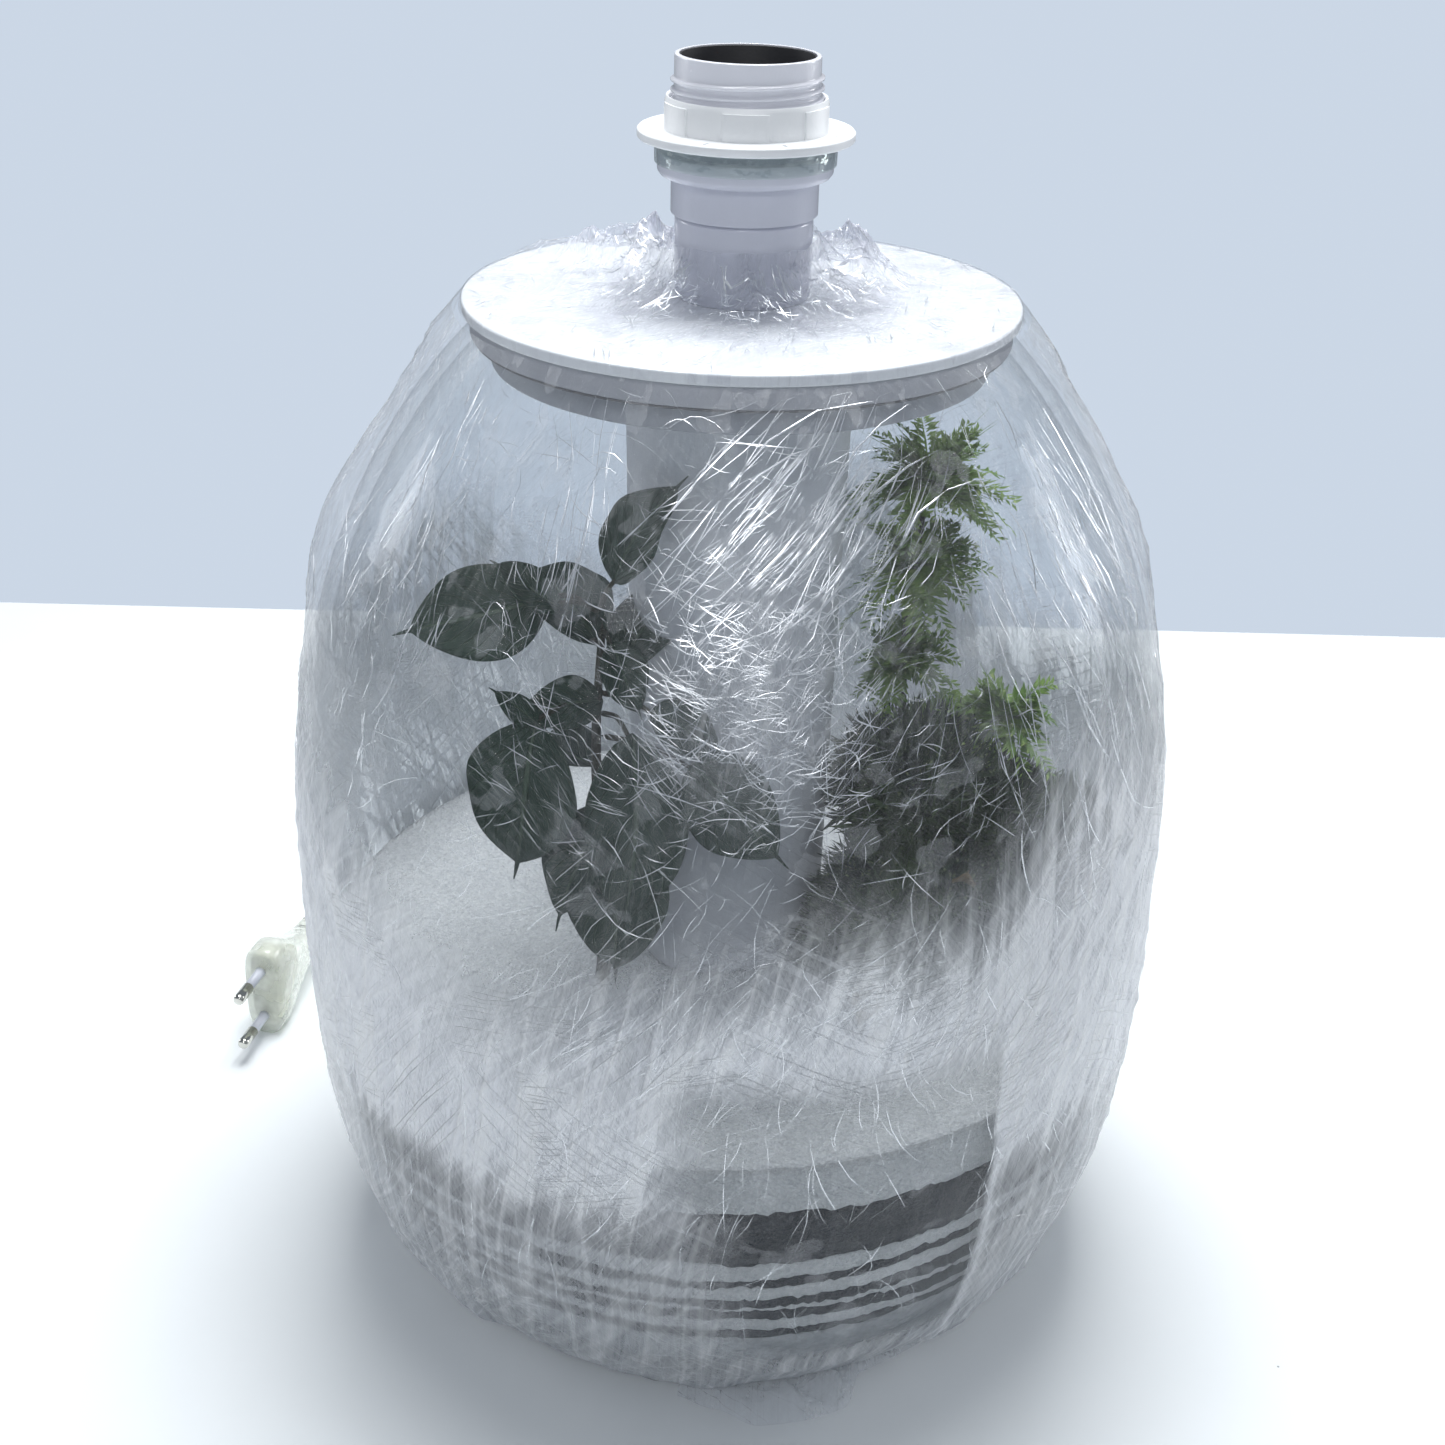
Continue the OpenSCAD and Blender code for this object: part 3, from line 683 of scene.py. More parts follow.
# %% Plug body, insert, pins and sleeves
moulded = [(0, 5.6, 16.4), (0.5, 6.4, 17.2), (1.4, 6.85, 17.6), (9, 6.85, 17.6), (11, 6.7, 17.0),
           (16, 6.3, 14.2), (22, 5.9, 11.0), (28, 5.5, 8.4), (33, 5.2, 6.6), (36, 5.0, 5.8)]
moulded += moulded_rings(37, 3.4, 1.9, 6, 5.0, 0.22) + round_slices((58.0, 3.6), (59.0, 3.3))
points, faces = closed_tube(moulded, 3.4, 56)
plug = piece("plug_moulding", on_plug(points), faces, "base", "plug_clear", ["plug_body"], recalculate=True)

insert = [(1.6, 4.6, 14.6), (2.2, 5.0, 15.0), (10, 5.0, 15.0), (12, 4.4, 13.6), (18, 4.0, 9.0),
          (24, 3.2, 6.0)]
points, faces = closed_tube(insert, 4.0, 48)
plug_insert = piece("plug_insert", on_plug(points), faces, "base", "plug_clear", finish="plug_insert",
                    recalculate=True)

HALF_PIN_GAP = np.array([0, 0, 0.0093])
pin = round_slices((-19.15, 1.0), (-18.9, 1.6), (-18.2, 1.95), (-17.4, 2.0), (-10.2, 2.0), (-10.15, 1.4),
                   (-0.2, 1.4))
pin_sleeve = round_slices((-10.1, 1.5), (-10.05, 1.7), (-2.0, 1.75), (-0.2, 1.95))
for name, slices, slot, node in (("plug_pin_pair", pin, "pin_metal", "plug_pins"),
                                 ("pin_sleeve_pair", pin_sleeve, "pin_sleeve", "pin_sleeves")):
    points, faces = closed_tube(slices, 2.0, 32)
    points, faces = stacked([(points - HALF_PIN_GAP, faces), (points + HALF_PIN_GAP, faces)])
    piece(name, on_plug(points), faces, "base", slot, [node], recalculate=True)

# %% [markdown]
# ## Sand
# The bands were poured one after another, so each one's top is the next one's floor, and no line is quite
# level. A line's height wanders with the angle in slow swells and in millimetre steps where grains strayed.
# Each band is a closed ring between the column and the glass. The gaps between bands are a hair wide.

# %% The barrel's outline
BELLY_Z, LOW_REACH = 0.145, 0.160
HIGH_REACH = RIM_Z - BELLY_Z + 0.032
GLASS, GLASS_GAP = 0.004, 0.00025
FOOT_POWER = 3.6


def barrel(z):
    """Outer radius of the glass: a superellipse quarter below the belly and an ellipse quarter above it."""
    low = (1 - np.clip((BELLY_Z - z) / LOW_REACH, 0, 1) ** FOOT_POWER) ** (1 / FOOT_POWER)
    high = np.sqrt(1 - np.clip((z - BELLY_Z) / HIGH_REACH, 0, 0.99) ** 2)
    return BARREL_R * np.where(z < BELLY_Z, low, high)


def inside(z):
    """Inner radius for what is inside the glass: the wall's thickness taken off square to the wall, and a
    hair's gap."""
    lean = (barrel(z + 0.0005) - barrel(z - 0.0005)) / 0.001
    return barrel(z) - GLASS * np.sqrt(1 + lean ** 2) - GLASS_GAP


# %% Sand: the lines between bands
BANDS = ["gravel_bed", "sand_black_1", "sand_white_1", "sand_black_2", "sand_white_2", "sand_black_3",
         "sand_white_3", "sand_black_4", "sand_white_4", "sand_black_5", "sand_top_layer"]
SAND_TURNS = 900
COLUMN_R_GRAVEL, COLUMN_R_SAND, BAND_GAP = 0.0272, 0.0285, 0.00004
angle = np.linspace(0, 2 * np.pi, SAND_TURNS, endpoint=False)
around = angle / (2 * np.pi)


def sand_line(index, share):
    """Height of the top of a band at every angle, share 0 at the column and 1 at the glass."""
    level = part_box(BANDS[index])[1].z
    if BANDS[index] == "sand_top_layer":
        dunes = hills(around * 9, share * 4 + 0 * around, 71, 9, 8) * 0.0032
        grit = hills(around * 220, share * 25 + 0 * around, 72, 220, 32) * 0.0005
        rise = 0.0016 * np.cos(angle - math.radians(-25))
        return level - 0.0030 + dunes + grit + rise
    swell = (hills(around * 8, 0 * around, 80 + index, 8, 2) - 0.5) * 0.0040
    ragged = (hills(around * 110, 0 * around, 110 + index, 110, 2) - 0.5) * 0.0014
    grit = (hills(around * 450, 0 * around, 140 + index, 450, 2) - 0.5) * 0.0013
    return level + swell + (ragged + grit) * smooth_step(share, 0.9, 1.0)


# %% Sand: the bands
def sand_band(index):
    """A closed ring: floor outwards, up along the glass, top inwards and down along the column."""
    shares = np.array([0.0, 0.3, 0.55, 0.75, 0.9, 1.0])
    if index == 0:
        column_r, slot = COLUMN_R_GRAVEL, "gravel"
        floor = [np.full(SAND_TURNS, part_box(BANDS[0])[0].z)] * len(shares)
    else:
        column_r, slot = COLUMN_R_SAND, "black_sand" if index % 2 else "white_sand"
        floor = [sand_line(index - 1, s) for s in shares]
    top_shares = np.linspace(0, 1, 40) if BANDS[index] == "sand_top_layer" else shares
    top = [sand_line(index, s) for s in top_shares]
    low, high = floor[-1] + BAND_GAP, top[-1]
    loop = [(column_r + s * (inside(h) - column_r), h) for s, h in zip(shares[:-1], floor[:-1])]
    wall = [low + s * (high - low) for s in np.linspace(0, 1, 6)]
    loop += [(inside(h) + 0 * h, h) for h in wall]
    loop += [(column_r + s * (inside(h) - column_r), h) for s, h in zip(top_shares[-2::-1], top[-2::-1])]
    radius, height = (np.stack(rows, 1) for rows in zip(*loop))
    turn = angle[:, None]
    points = np.stack([radius * np.cos(turn), radius * np.sin(turn), height], -1)
    faces = grid_faces(SAND_TURNS, radius.shape[1], True, True)
    return piece(BANDS[index] + "_grains", points.reshape(-1, 3), faces, "base", slot, [BANDS[index]])


for index in range(len(BANDS)):
    sand_band(index)
print(len(BANDS), "sand bands of", SAND_TURNS, "steps")

# %% [markdown]
# ## Lid, seal and column
# The lid is a lacquered disc on a ring that drops into the glass. They are turned on a lathe in the shop,
# and here too: an outline with rounded edges is carried round the axis. The sharp CAD discs would give a
# hard black line at every edge, because only a rounded edge catches the light.

# %% Turned pieces of the lid, and the column
def turned_piece(node, body, slot, corners, turns, finish=None, name=None):
    """The node's own form again, carried round the axis from an outline with rounded corners."""
    points, faces = revolved(rounded(corners), turns)
    return piece(name or node + "_turned", points, faces, body, slot, [node], finish)


lid_z = LID_TOP / MM
lid_disc = [(5.2, lid_z - 3, 0.1), (74, lid_z - 3, 0.5), (74, lid_z, 0.7), (5.2, lid_z, 0.2)]
lid_rim = [(60, 276.8, 0.6), (66.6, 276.8, 0.8), (66.6, 284.8, 0.2), (72, 284.8, 0.5), (72, 291, 0.3),
           (60, 291, 0.3)]
lid_seal = [(66.9, 284.02, 0.2), (71.5, 284.02, 0.3), (71.5, 284.78, 0.3), (66.9, 284.78, 0.2)]
column = [(24, 9.15, 0.3), (27, 9.15, 0.3), (31, 282, 0.6), (28, 282, 0.6)]
turned_piece("lid_disc", "lid", "lid_white", lid_disc, 256)
# the rim takes the darker grey copy of the lid's white, painted shade
turned_piece("lid_rim", "lid", "lid_white", lid_rim, 256, "rim_painted_shade")
turned_piece("lid_seal", "lid", "seal_rubber", lid_seal, 256)
turned_piece("column", "base", "column_white", column, 256)

# %% [markdown]
# ## Lampholder and shade ring
# The white shell carries a coarse outer thread for the shade ring. The CAD model makes its ridges as level
# rings, which is enough for a fit, but on the real holder they climb. So the shell is a lathe form whose
# radius also grows by a thread profile: a ridge where height minus pitch times turns is a whole pitch.

# %% Lampholder shell with its thread
PITCH, ROOT_R, CREST_R = 0.0025, 0.01885, 0.01975
top = MOUTH_Z / MM
THREAD_LOW, THREAD_HIGH = MOUTH_Z - 0.0225, MOUTH_Z - 0.0014
shell_corners = [(17.4, top - 39.5, 0.3), (19.2, top - 39.5, 0.25), (19.2, top - 29.8, 0.3),
                 (21.9, top - 29.8, 0.4), (22.8, top - 28.6, 0.5), (22.8, top - 24, 0.6),
                 (18.85, top - 24, 0.3), (18.6, top, 0.45), (17.4, top, 0.15)]


def densified(outline, step):
    """Extra points along an outline's long sides, one every step."""
    nearer = np.concatenate([outline, outline[:1]])
    length = np.linalg.norm(np.diff(nearer, axis=0), axis=1)
    travelled = np.concatenate([[0], np.cumsum(length)])
    at = np.union1d(travelled[:-1], np.arange(0, travelled[-1], step))
    return np.stack([np.interp(at, travelled, nearer[:, k]) for k in (0, 1)], 1)


def threaded_shell():
    """The shell's outline with the thread added to its outer neck, fading out at both ends of its run."""
    points, faces = revolved(densified(rounded(shell_corners), 0.00025), 240)
    turn = np.arctan2(points[:, 1], points[:, 0]) / (2 * np.pi)
    radius = np.hypot(points[:, 0], points[:, 1])
    phase = ((points[:, 2] - (MOUTH_Z - 0.0027)) / PITCH - turn) % 1.0
    ridge = smooth_step(abs(phase - 0.5), 0.22, 0.40)
    run = smooth_step(points[:, 2], THREAD_LOW, THREAD_LOW + 0.001)
    run *= 1 - smooth_step(points[:, 2], THREAD_HIGH - 0.0007, THREAD_HIGH)
    outer = abs(radius - ROOT_R) < 0.0002
    grown = radius + (CREST_R - ROOT_R) * ridge * run * outer
    points[:, :2] *= (grown / radius)[:, None]
    return points, faces


points, faces = threaded_shell()
piece("holder_shell_threaded", points, faces, "lid", "holder_white", ["holder_shell"])

# %% Lampholder cap and the black insert
cap_corners = [(16.3, top - 61, 0.3), (17.6, top - 61, 0.5), (18.1, top - 58, 0.6), (18.1, top - 40.6, 0.3),
               (17.5, top - 39.7, 0.1), (16.3, top - 39.7, 0.1)]
turned_piece("holder_cap", "lid", "holder_white", cap_corners, 200)
insert_wall = [(13.9, top - 27, 0.2), (17.2, top - 27, 0.2), (17.34, top - 0.3, 0.1),
               (16.9, top - 0.35, 0.2), (14.6, top - 8, 1.0), (13.9, top - 9, 0.5)]
insert_floor = [(0.01, top - 35.5, 0), (17.2, top - 35.5, 0.2), (17.2, top - 27.1, 0.2),
                (13.9, top - 27.1, 0.2), (13.6, top - 29.6, 0.4), (0.01, top - 29.6, 0)]
points, faces = stacked([revolved(rounded(corners), 160) for corners in (insert_wall, insert_floor)])
piece("holder_insert_turned", points, faces, "lid", "holder_black", ["holder_insert"])

# %% The clear washer, a shallow cup that sits over the shoulder
washer_corners = [(19.9, 333.25, 0.1), (23.0, 333.25, 0.2), (23.0, 328.6, 0.1), (23.5, 328.4, 0.1),
                  (23.6, 333.6, 0.4), (23.2, 334.0, 0.3), (19.9, 334.0, 0.1)]
turned_piece("ring_washer", "washer", "clear_washer", washer_corners, 200, name="ring_washer_cup")

# %% The shade ring's edges
def softened(node, width):
    """A CAD part with its loose triangles welded and its sharp edges rounded by a bevel."""
    weld = NODES[node].modifiers.new("weld", "WELD")
    weld.merge_threshold = 1e-6
    edge = NODES[node].modifiers.new("edges", "BEVEL")
    edge.width, edge.segments, edge.limit_method = width, 2, "ANGLE"
    edge.angle_limit = math.radians(40)


softened("shade_ring", 0.00022)

# %% [markdown]
# ## Greenery: the leafy plant
# A leaf is a grid: s runs along the midrib and w from edge to edge. Its half width is a power of the sine of
# s, with a thin drawn-out tip. The midrib arches between its base and its tip, and the blade is a shallow
# trough with a gentle wave along its edge.

# %% One leaf
LEAF_LONG, LEAF_WIDE = 26, 11


def leaf(base, tip, width, facing, arch, seed):
    """Points of a leaf blade from its base to its tip, with its upper side towards facing."""
    base, tip, facing = (np.array(v, float) for v in (base, tip, facing))
    s, w = np.meshgrid(np.linspace(0, 1, LEAF_LONG), np.linspace(-1, 1, LEAF_WIDE), indexing="ij")
    blade = np.clip(s / 0.88, 0, 1)
    half = np.maximum(np.sin(np.pi * blade ** 0.82) ** 0.72, 0.11 * np.clip((1 - s) / 0.3, 0, 1)) * width / 2
    half[0] = 0.0004
    forward = tip - base
    length = np.linalg.norm(forward)
    up = facing - forward * (facing @ forward) / length ** 2
    up /= np.linalg.norm(up)
    side = np.cross(up, forward / length)
    wave = 0.05 * width * np.sin(s * 13 + seed) * w ** 2 * np.sin(np.pi * s)
    lift = half * 0.28 * abs(w) ** 1.6 + wave + arch * length * np.sin(np.pi * s ** 0.9)
    sway = 0.03 * length * np.sin(3.4 * s + seed)
    across = half * w * 0.96 + sway
    points = base + s[..., None] * forward + lift[..., None] * up + across[..., None] * side
    return points.reshape(-1, 3), grid_faces(LEAF_LONG, LEAF_WIDE)


def leaf_uv(count):
    """s and w, from 0 to 1, at the corners of every face of count leaves."""
    faces = grid_faces(LEAF_LONG, LEAF_WIDE)
    s, w = np.divmod(faces.ravel(), LEAF_WIDE)
    corners = np.stack([s / (LEAF_LONG - 1), w / (LEAF_WIDE - 1)], 1)
    return np.tile(corners, (count, 1))


def thickened(made, thickness):
    """Gives a single sheet a wall, half of it on each side."""
    wall = made.modifiers.new("thickness", "SOLIDIFY")
    wall.thickness, wall.offset = thickness, 0


# %% A stalk: a thin tube through given points
def stalk(route, thick, thin, sides=7):
    """A tube round a smoothed polyline, thinning from its start to its end. A ring's two axes are square to
    the line's heading and to one fixed direction, so that the rings don't twist."""
    route = np.array(route, float)
    dense = np.linspace(0, 1, 4 * len(route))
    old = np.linspace(0, 1, len(route))
    line = np.stack([np.interp(dense, old, route[:, k]) for k in range(3)], 1)
    line[1:-1] = (line[:-2] + 2 * line[1:-1] + line[2:]) / 4
    heading = np.gradient(line, axis=0)
    heading /= np.linalg.norm(heading, axis=1, keepdims=True)
    across = np.cross(heading, [0.31, 0.95, 0.05])
    across /= np.linalg.norm(across, axis=1, keepdims=True)
    other = np.cross(heading, across)
    t = np.linspace(0, 2 * np.pi, sides, endpoint=False)[None, :, None]
    radius = np.linspace(thick, thin, len(line))
    radius[[0, -1]] = 1e-6
    ring = across[:, None] * np.cos(t) + other[:, None] * np.sin(t)
    points = line[:, None] + radius[:, None, None] * ring
    return points.reshape(-1, 3), grid_faces(len(line), sides, False, True)


# %% The leafy plant
STEM_X, STEM_Y, STEM_TOP = -0.036, -0.034, 0.216
# base, tip, width, facing, arch: places in millimetres
LEAVES = [[(-32, -35, 225), (-13, -31, 254), 21, (-0.7, -0.8, 0.5), 0.06],
          [(-50, -36, 222), (-90, -42, 210), 27, (0.1, -1.0, 0.55), 0.08],
          [(-46, -37, 219), (-63, -50, 236), 11, (0.3, -0.8, 0.5), -0.06],
          [(-52, -47, 189), (-64, -51, 201), 8, (0, -1, 0.3), 0.05],
          [(-35, -36, 190), (-60, -45, 190), 15, (0, -0.9, 0.6), 0.10],
          [(-51, -47, 189), (-60, -51, 143), 33, (-0.2, -1, 0.35), 0.05],
          [(-26, -42, 184), (-30, -48, 121), 30, (0.15, -1, 0.25), 0.06],
          [(-11, -46, 177), (17, -60, 154), 27, (-0.25, -1, 0.45), 0.08],
          [(-22, -41, 190), (0, -45, 179), 15, (0, -0.8, 0.7), 0.10],
          [(-33, -36, 208), (-24, -42, 188), 14, (0.4, -0.9, 0.3), 0.08],
          [(-28, -38, 152), (-32, -50, 108), 31, (0, -1, 0.3), 0.06],
          [(-38, -30, 204), (-58, 4, 214), 24, (-0.3, 0.1, 1), 0.12],
          [(-32, -30, 196), (-12, 4, 206), 20, (0.3, 0.1, 1), 0.12],
          [(-38, -31, 168), (-62, -8, 160), 24, (-0.4, 0.2, 1), 0.10],
          [(-34, -38, 160), (-46, -58, 130), 22, (-0.5, -0.8, 0.4), 0.08]]
leaf_parts, stem_parts = [], []
for number, (base, tip, width, facing, arch) in enumerate(LEAVES):
    base, tip = np.array(base) * MM, np.array(tip) * MM
    start = np.array([STEM_X, STEM_Y, min(base[2] + 0.002, STEM_TOP)])
    bend = (start + base) / 2 + [0, 0, 0.0020]
    stem_parts.append(stalk([start, bend, base + (tip - base) * 0.06], 0.0009, 0.0006))
    leaf_parts.append(leaf(base, tip, width * MM, facing, arch, number))
sway = np.linspace(0, 1, 9)
stem_route = np.stack([STEM_X + 0.0012 * np.sin(7 * sway), STEM_Y + 0.0012 * np.cos(5 * sway),
                       SAND_TOP - 0.003 + sway * (STEM_TOP - SAND_TOP)], 1)
stem_parts.append(stalk(stem_route, 0.0022, 0.0010, 9))
points, faces = stacked(leaf_parts)
leaves = piece("plant_leaves", points, faces, "base", "dark_leaf", ["leafy_plant"], uv=leaf_uv(len(LEAVES)),
               weld=False)
thickened(leaves, 0.0004)
points, faces = stacked(stem_parts)
piece("plant_stems", points, faces, "base", "dark_leaf", finish="stem_brown")
print(len(LEAVES), "leaves")

# %% [markdown]
# ## Greenery: fern and moss
# The fern is thousands of small leaflets in two rows along thin fronds, and the moss is thousands of needles
# that stand out of a mound. A modelled leaflet needs only two faces folded along its middle, so all of them
# are worked out as one array: a base, a way to point, and a way across for each.

# %% Many leaflets at once
def leaflets(base, point, across, length, width):
    """A folded diamond for each row: base, left, tip, right and a raised middle. Two four-sided faces."""
    point = point / np.linalg.norm(point, axis=1, keepdims=True)
    across = across - point * (across * point).sum(1, keepdims=True)
    across /= np.linalg.norm(across, axis=1, keepdims=True) + 1e-9
    up = np.cross(point, across)
    length, width = length[:, None], width[:, None]
    middle = base + point * length * 0.45
    corners = [base, middle - across * width / 2, base + point * length - up * length * 0.08,
               middle + across * width / 2, middle + up * width * 0.25]
    points = np.stack(corners, 1).reshape(-1, 3)
    first = np.arange(len(base))[:, None] * 5
    return points, np.concatenate([first + [0, 1, 2, 4], first + [0, 4, 2, 3]])


def fern_tuft(centre, reach, fronds, seed):
    """Fronds that leave a centre every way, mostly outwards and up, and sink under their own weight; each
    has leaflets in pairs that shorten towards its end."""
    rng = np.random.default_rng(seed)
    pairs = 13
    yaw = rng.uniform(0, 2 * np.pi, fronds)[:, None]
    rise = rng.uniform(-0.5, 1.2, fronds)[:, None]
    size = rng.uniform(0.6, 1.1, fronds)[:, None] * reach
    s = np.linspace(0.12, 1, pairs)[None, :]
    out, up = s * np.cos(rise) * size, s * np.sin(rise) * size - 0.35 * s ** 2 * size
    base = np.stack([centre[0] + out * np.cos(yaw), centre[1] + out * np.sin(yaw), centre[2] + up], -1)
    level = np.cos(rise)
    ways = np.cos(yaw) * level, np.sin(yaw) * level, np.sin(rise) - 0.5 * s
    forward = np.stack(np.broadcast_arrays(*ways), -1)
    side = np.stack(np.broadcast_arrays(-np.sin(yaw), np.cos(yaw), 0 * s), -1)
    rows = []
    for sign in (-1, 1):
        point = forward * 0.8 + side * sign + rng.normal(0, 0.16, forward.shape)
        length = (0.0075 * (1.15 - 0.7 * s) * rng.uniform(0.7, 1.2, (fronds, pairs))).ravel()
        grids = [grid.reshape(-1, 3) for grid in (base, point, forward)]
        rows.append(leaflets(*grids, length, length * 0.30))
    starts = np.broadcast_to(centre, (fronds, 3))
    ribs = leaflets(starts, base[:, -1] - centre, side[:, 0], size[:, 0] * 1.02, np.full(fronds, 0.0007))
    return stacked([*rows, ribs])


# %% The fern
FERN_X, FERN_Y = 0.052, 0.014
# centre, reach, fronds
TUFTS = [((0.055, 0.018, 0.238), 0.026, 54), ((0.053, 0.014, 0.212), 0.024, 46),
         ((0.050, 0.012, 0.184), 0.018, 34), ((0.062, 0.006, 0.160), 0.021, 30),
         ((0.080, 0.000, 0.172), 0.020, 30)]
points, faces = stacked([fern_tuft(np.array(centre), reach, fronds, 300 + k)
                         for k, (centre, reach, fronds) in enumerate(TUFTS)])
piece("fern_fronds", points, faces, "base", "fern_green", ["fern"], weld=False)
route = np.array([[FERN_X, FERN_Y, SAND_TOP - 0.003], [FERN_X, FERN_Y, 0.150], [0.0505, FERN_Y, 0.190],
                  [0.0545, 0.0165, 0.236]])
points, faces = stalk(route, 0.0016, 0.0007)
piece("fern_stem", points, faces, "base", "fern_green", finish="stem_brown")
print(len(points), "fern stem points")

# %% The moss: a core and its needles
# centre, radius
MOUNDS = [((0.058, -0.022, 0.118), 0.028), ((0.086, 0.002, 0.120), 0.024), ((0.056, -0.006, 0.146), 0.025),
          ((0.044, -0.022, 0.106), 0.018), ((0.078, -0.014, 0.140), 0.018), ((0.098, 0.002, 0.128), 0.014)]


def mound(centre, radius, seed):
    """A lumpy ball, sunk in the sand: its radius times 0.80 to 0.96, by soft hills over it."""
    t = np.linspace(0, 2 * np.pi, 48, endpoint=False)[:, None]
    f = np.linspace(-np.pi / 2, np.pi / 2, 25)[None, :]
    lump = 0.80 + 0.16 * hills(t / (2 * np.pi) * 8, f * 3 + 9, seed, 8, 20) + 0 * f
    r = radius * lump
    ball = r * np.cos(t) * np.cos(f), r * np.sin(t) * np.cos(f), r * np.sin(f)
    points = np.stack(np.broadcast_arrays(*ball), -1).reshape(-1, 3) + centre
    points[:, 2] = np.maximum(points[:, 2], SAND_TOP - 0.004)
    return points, grid_faces(48, 25, True)


def needles(centre, radius, count, seed):
    """Needles that start near the mound's skin and point out and up with a random lean."""
    rng = np.random.default_rng(seed)
    way = rng.normal(0, 1, (count, 3))
    way[:, 2] = abs(way[:, 2]) * 0.9 - 0.15
    way /= np.linalg.norm(way, axis=1, keepdims=True)
    base = np.array(centre) + way * radius * rng.uniform(0.70, 0.92, (count, 1))
    base[:, 2] = np.maximum(base[:, 2], SAND_TOP - 0.001)
    point = way + rng.normal(0, 0.55, (count, 3)) + [0, 0, 0.35]
    length = rng.uniform(0.006, 0.013, count)
    across = rng.normal(0, 1, (count, 3))
    return leaflets(base, point, across, length, length * rng.uniform(0.06, 0.16, count))


NEEDLES_A_MOUND = 3600
points, faces = stacked([mound(np.array(centre), radius, 40 + k)
                         for k, (centre, radius) in enumerate(MOUNDS)])
piece("moss_mounds", points, faces, "base", "moss_green", ["moss_bush"])
points, faces = stacked([needles(centre, radius, NEEDLES_A_MOUND, 60 + k)
                         for k, (centre, radius) in enumerate(MOUNDS)])
piece("moss_needles", points, faces, "base", "moss_green", weld=False)
print(len(faces), "needle faces")

# %% Two dead leaves beside the moss
on_sand, on_moss = (0.044, -0.044, SAND_TOP + 0.008), (0.066, -0.040, 0.139)
dead = [leaf(on_sand, (0.038, -0.062, SAND_TOP + 0.002), 0.011, (0, -0.3, 1), 0.1, 2),
        leaf(on_moss, (0.067, -0.048, 0.147), 0.007, (0, -1, 0.3), 0.1, 5)]
points, faces = stacked(dead)
dead_leaves = piece("dead_leaves", points, faces, "base", "dark_leaf", finish="dead_leaf",
                    uv=leaf_uv(len(dead)), weld=False)
thickened(dead_leaves, 0.0003)

# %% [markdown]
# ## Stretch film round the barrel
# The film could be a cloth simulation, but a machine wraps it tight, so its shape is the barrel's plus small
# folds that run along its tension. It is worked out as a radius for every angle and height: the barrel, a
# straight bridge up to the lid's edge, and ridges at the wrapping angles. Ridges only stand outwards.

# %% Film: its radius
HEM_Z, HEM_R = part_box("film_side")[1].z, 0.0761
BRIDGE_Z = 0.250
FILM_LOW, FILM_GAP = 0.0012, 0.0009


def from_front(turn):
    """A turn in degrees from the front, -180 to 180, and positive towards +X."""
    return ((turn + 0.5) % 1 - 0.5) * 360


def film_radius(turn, z):
    """Radius of the film at a turn (0 to 1, 0 at the front) and a height: the barrel up to the bridge, a
    straight line to the hem above it, and then the folds, the gathers at the foot and the loose puffs."""
    skin = barrel(z) + FILM_GAP
    share = np.clip((z - BRIDGE_Z) / (HEM_Z - BRIDGE_Z), 0, 1)
    skin = np.where(z > BRIDGE_Z, (1 - share) * (barrel(BRIDGE_Z) + FILM_GAP) + share * HEM_R, skin)
    up = z / HEM_Z
    loose = np.clip(share * 6, 0, 1) * np.clip((1 - share) * 5, 0, 1)
    steep = ridges(turn * 64 + up * 5, up * 4, 11, 64, 8) ** 6
    slant = ridges(turn * 40 + up * 22, up * 5 + turn * 8, 12, 40, 8) ** 6
    other = ridges(turn * 44 - up * 20, up * 4 - turn * 8, 13, 44, 8) ** 7
    fine = ridges(turn * 150 + up * 24, up * 16, 14, 150, 16) ** 4
    level = ridges(up * 46 + turn * 4, turn * 12, 15, 64, 12) ** 5
    fold = 0.0005 * steep + 0.0005 * slant + 0.0005 * other + 0.0001 * fine
    fold = fold + 0.0011 * level * smooth_step(z, 0.262, 0.285) * (1 - smooth_step(z, 0.288, 0.2915))
    gather = smooth_step(z, 0.040, 0.006)
    fold = fold + gather * (0.0035 * ridges(turn * 34 + up * 6, up * 20, 16, 34, 32) ** 2)
    degrees = from_front(turn)
    puff = 0.0070 * bell(degrees, -76, 20) * bell(z, 0.236, 0.026)
    puff = puff + 0.0040 * bell(degrees, 80, 26) * bell(z, 0.238, 0.022)
    puff = puff + 0.0030 * loose * hills(turn * 9, up * 6, 17, 9, 8)
    return skin + fold * (0.35 + 0.65 * smooth_step(z, 0.2915, 0.283)) + puff


def film_points(turn, z, off=0.0):
    """Points on the film, off metres outside it. Turn 0 faces the front, and a quarter turn faces +X."""
    r = film_radius(turn, z) + off
    t = turn * 2 * np.pi
    return np.stack([r * np.sin(t), -r * np.cos(t), z], -1)


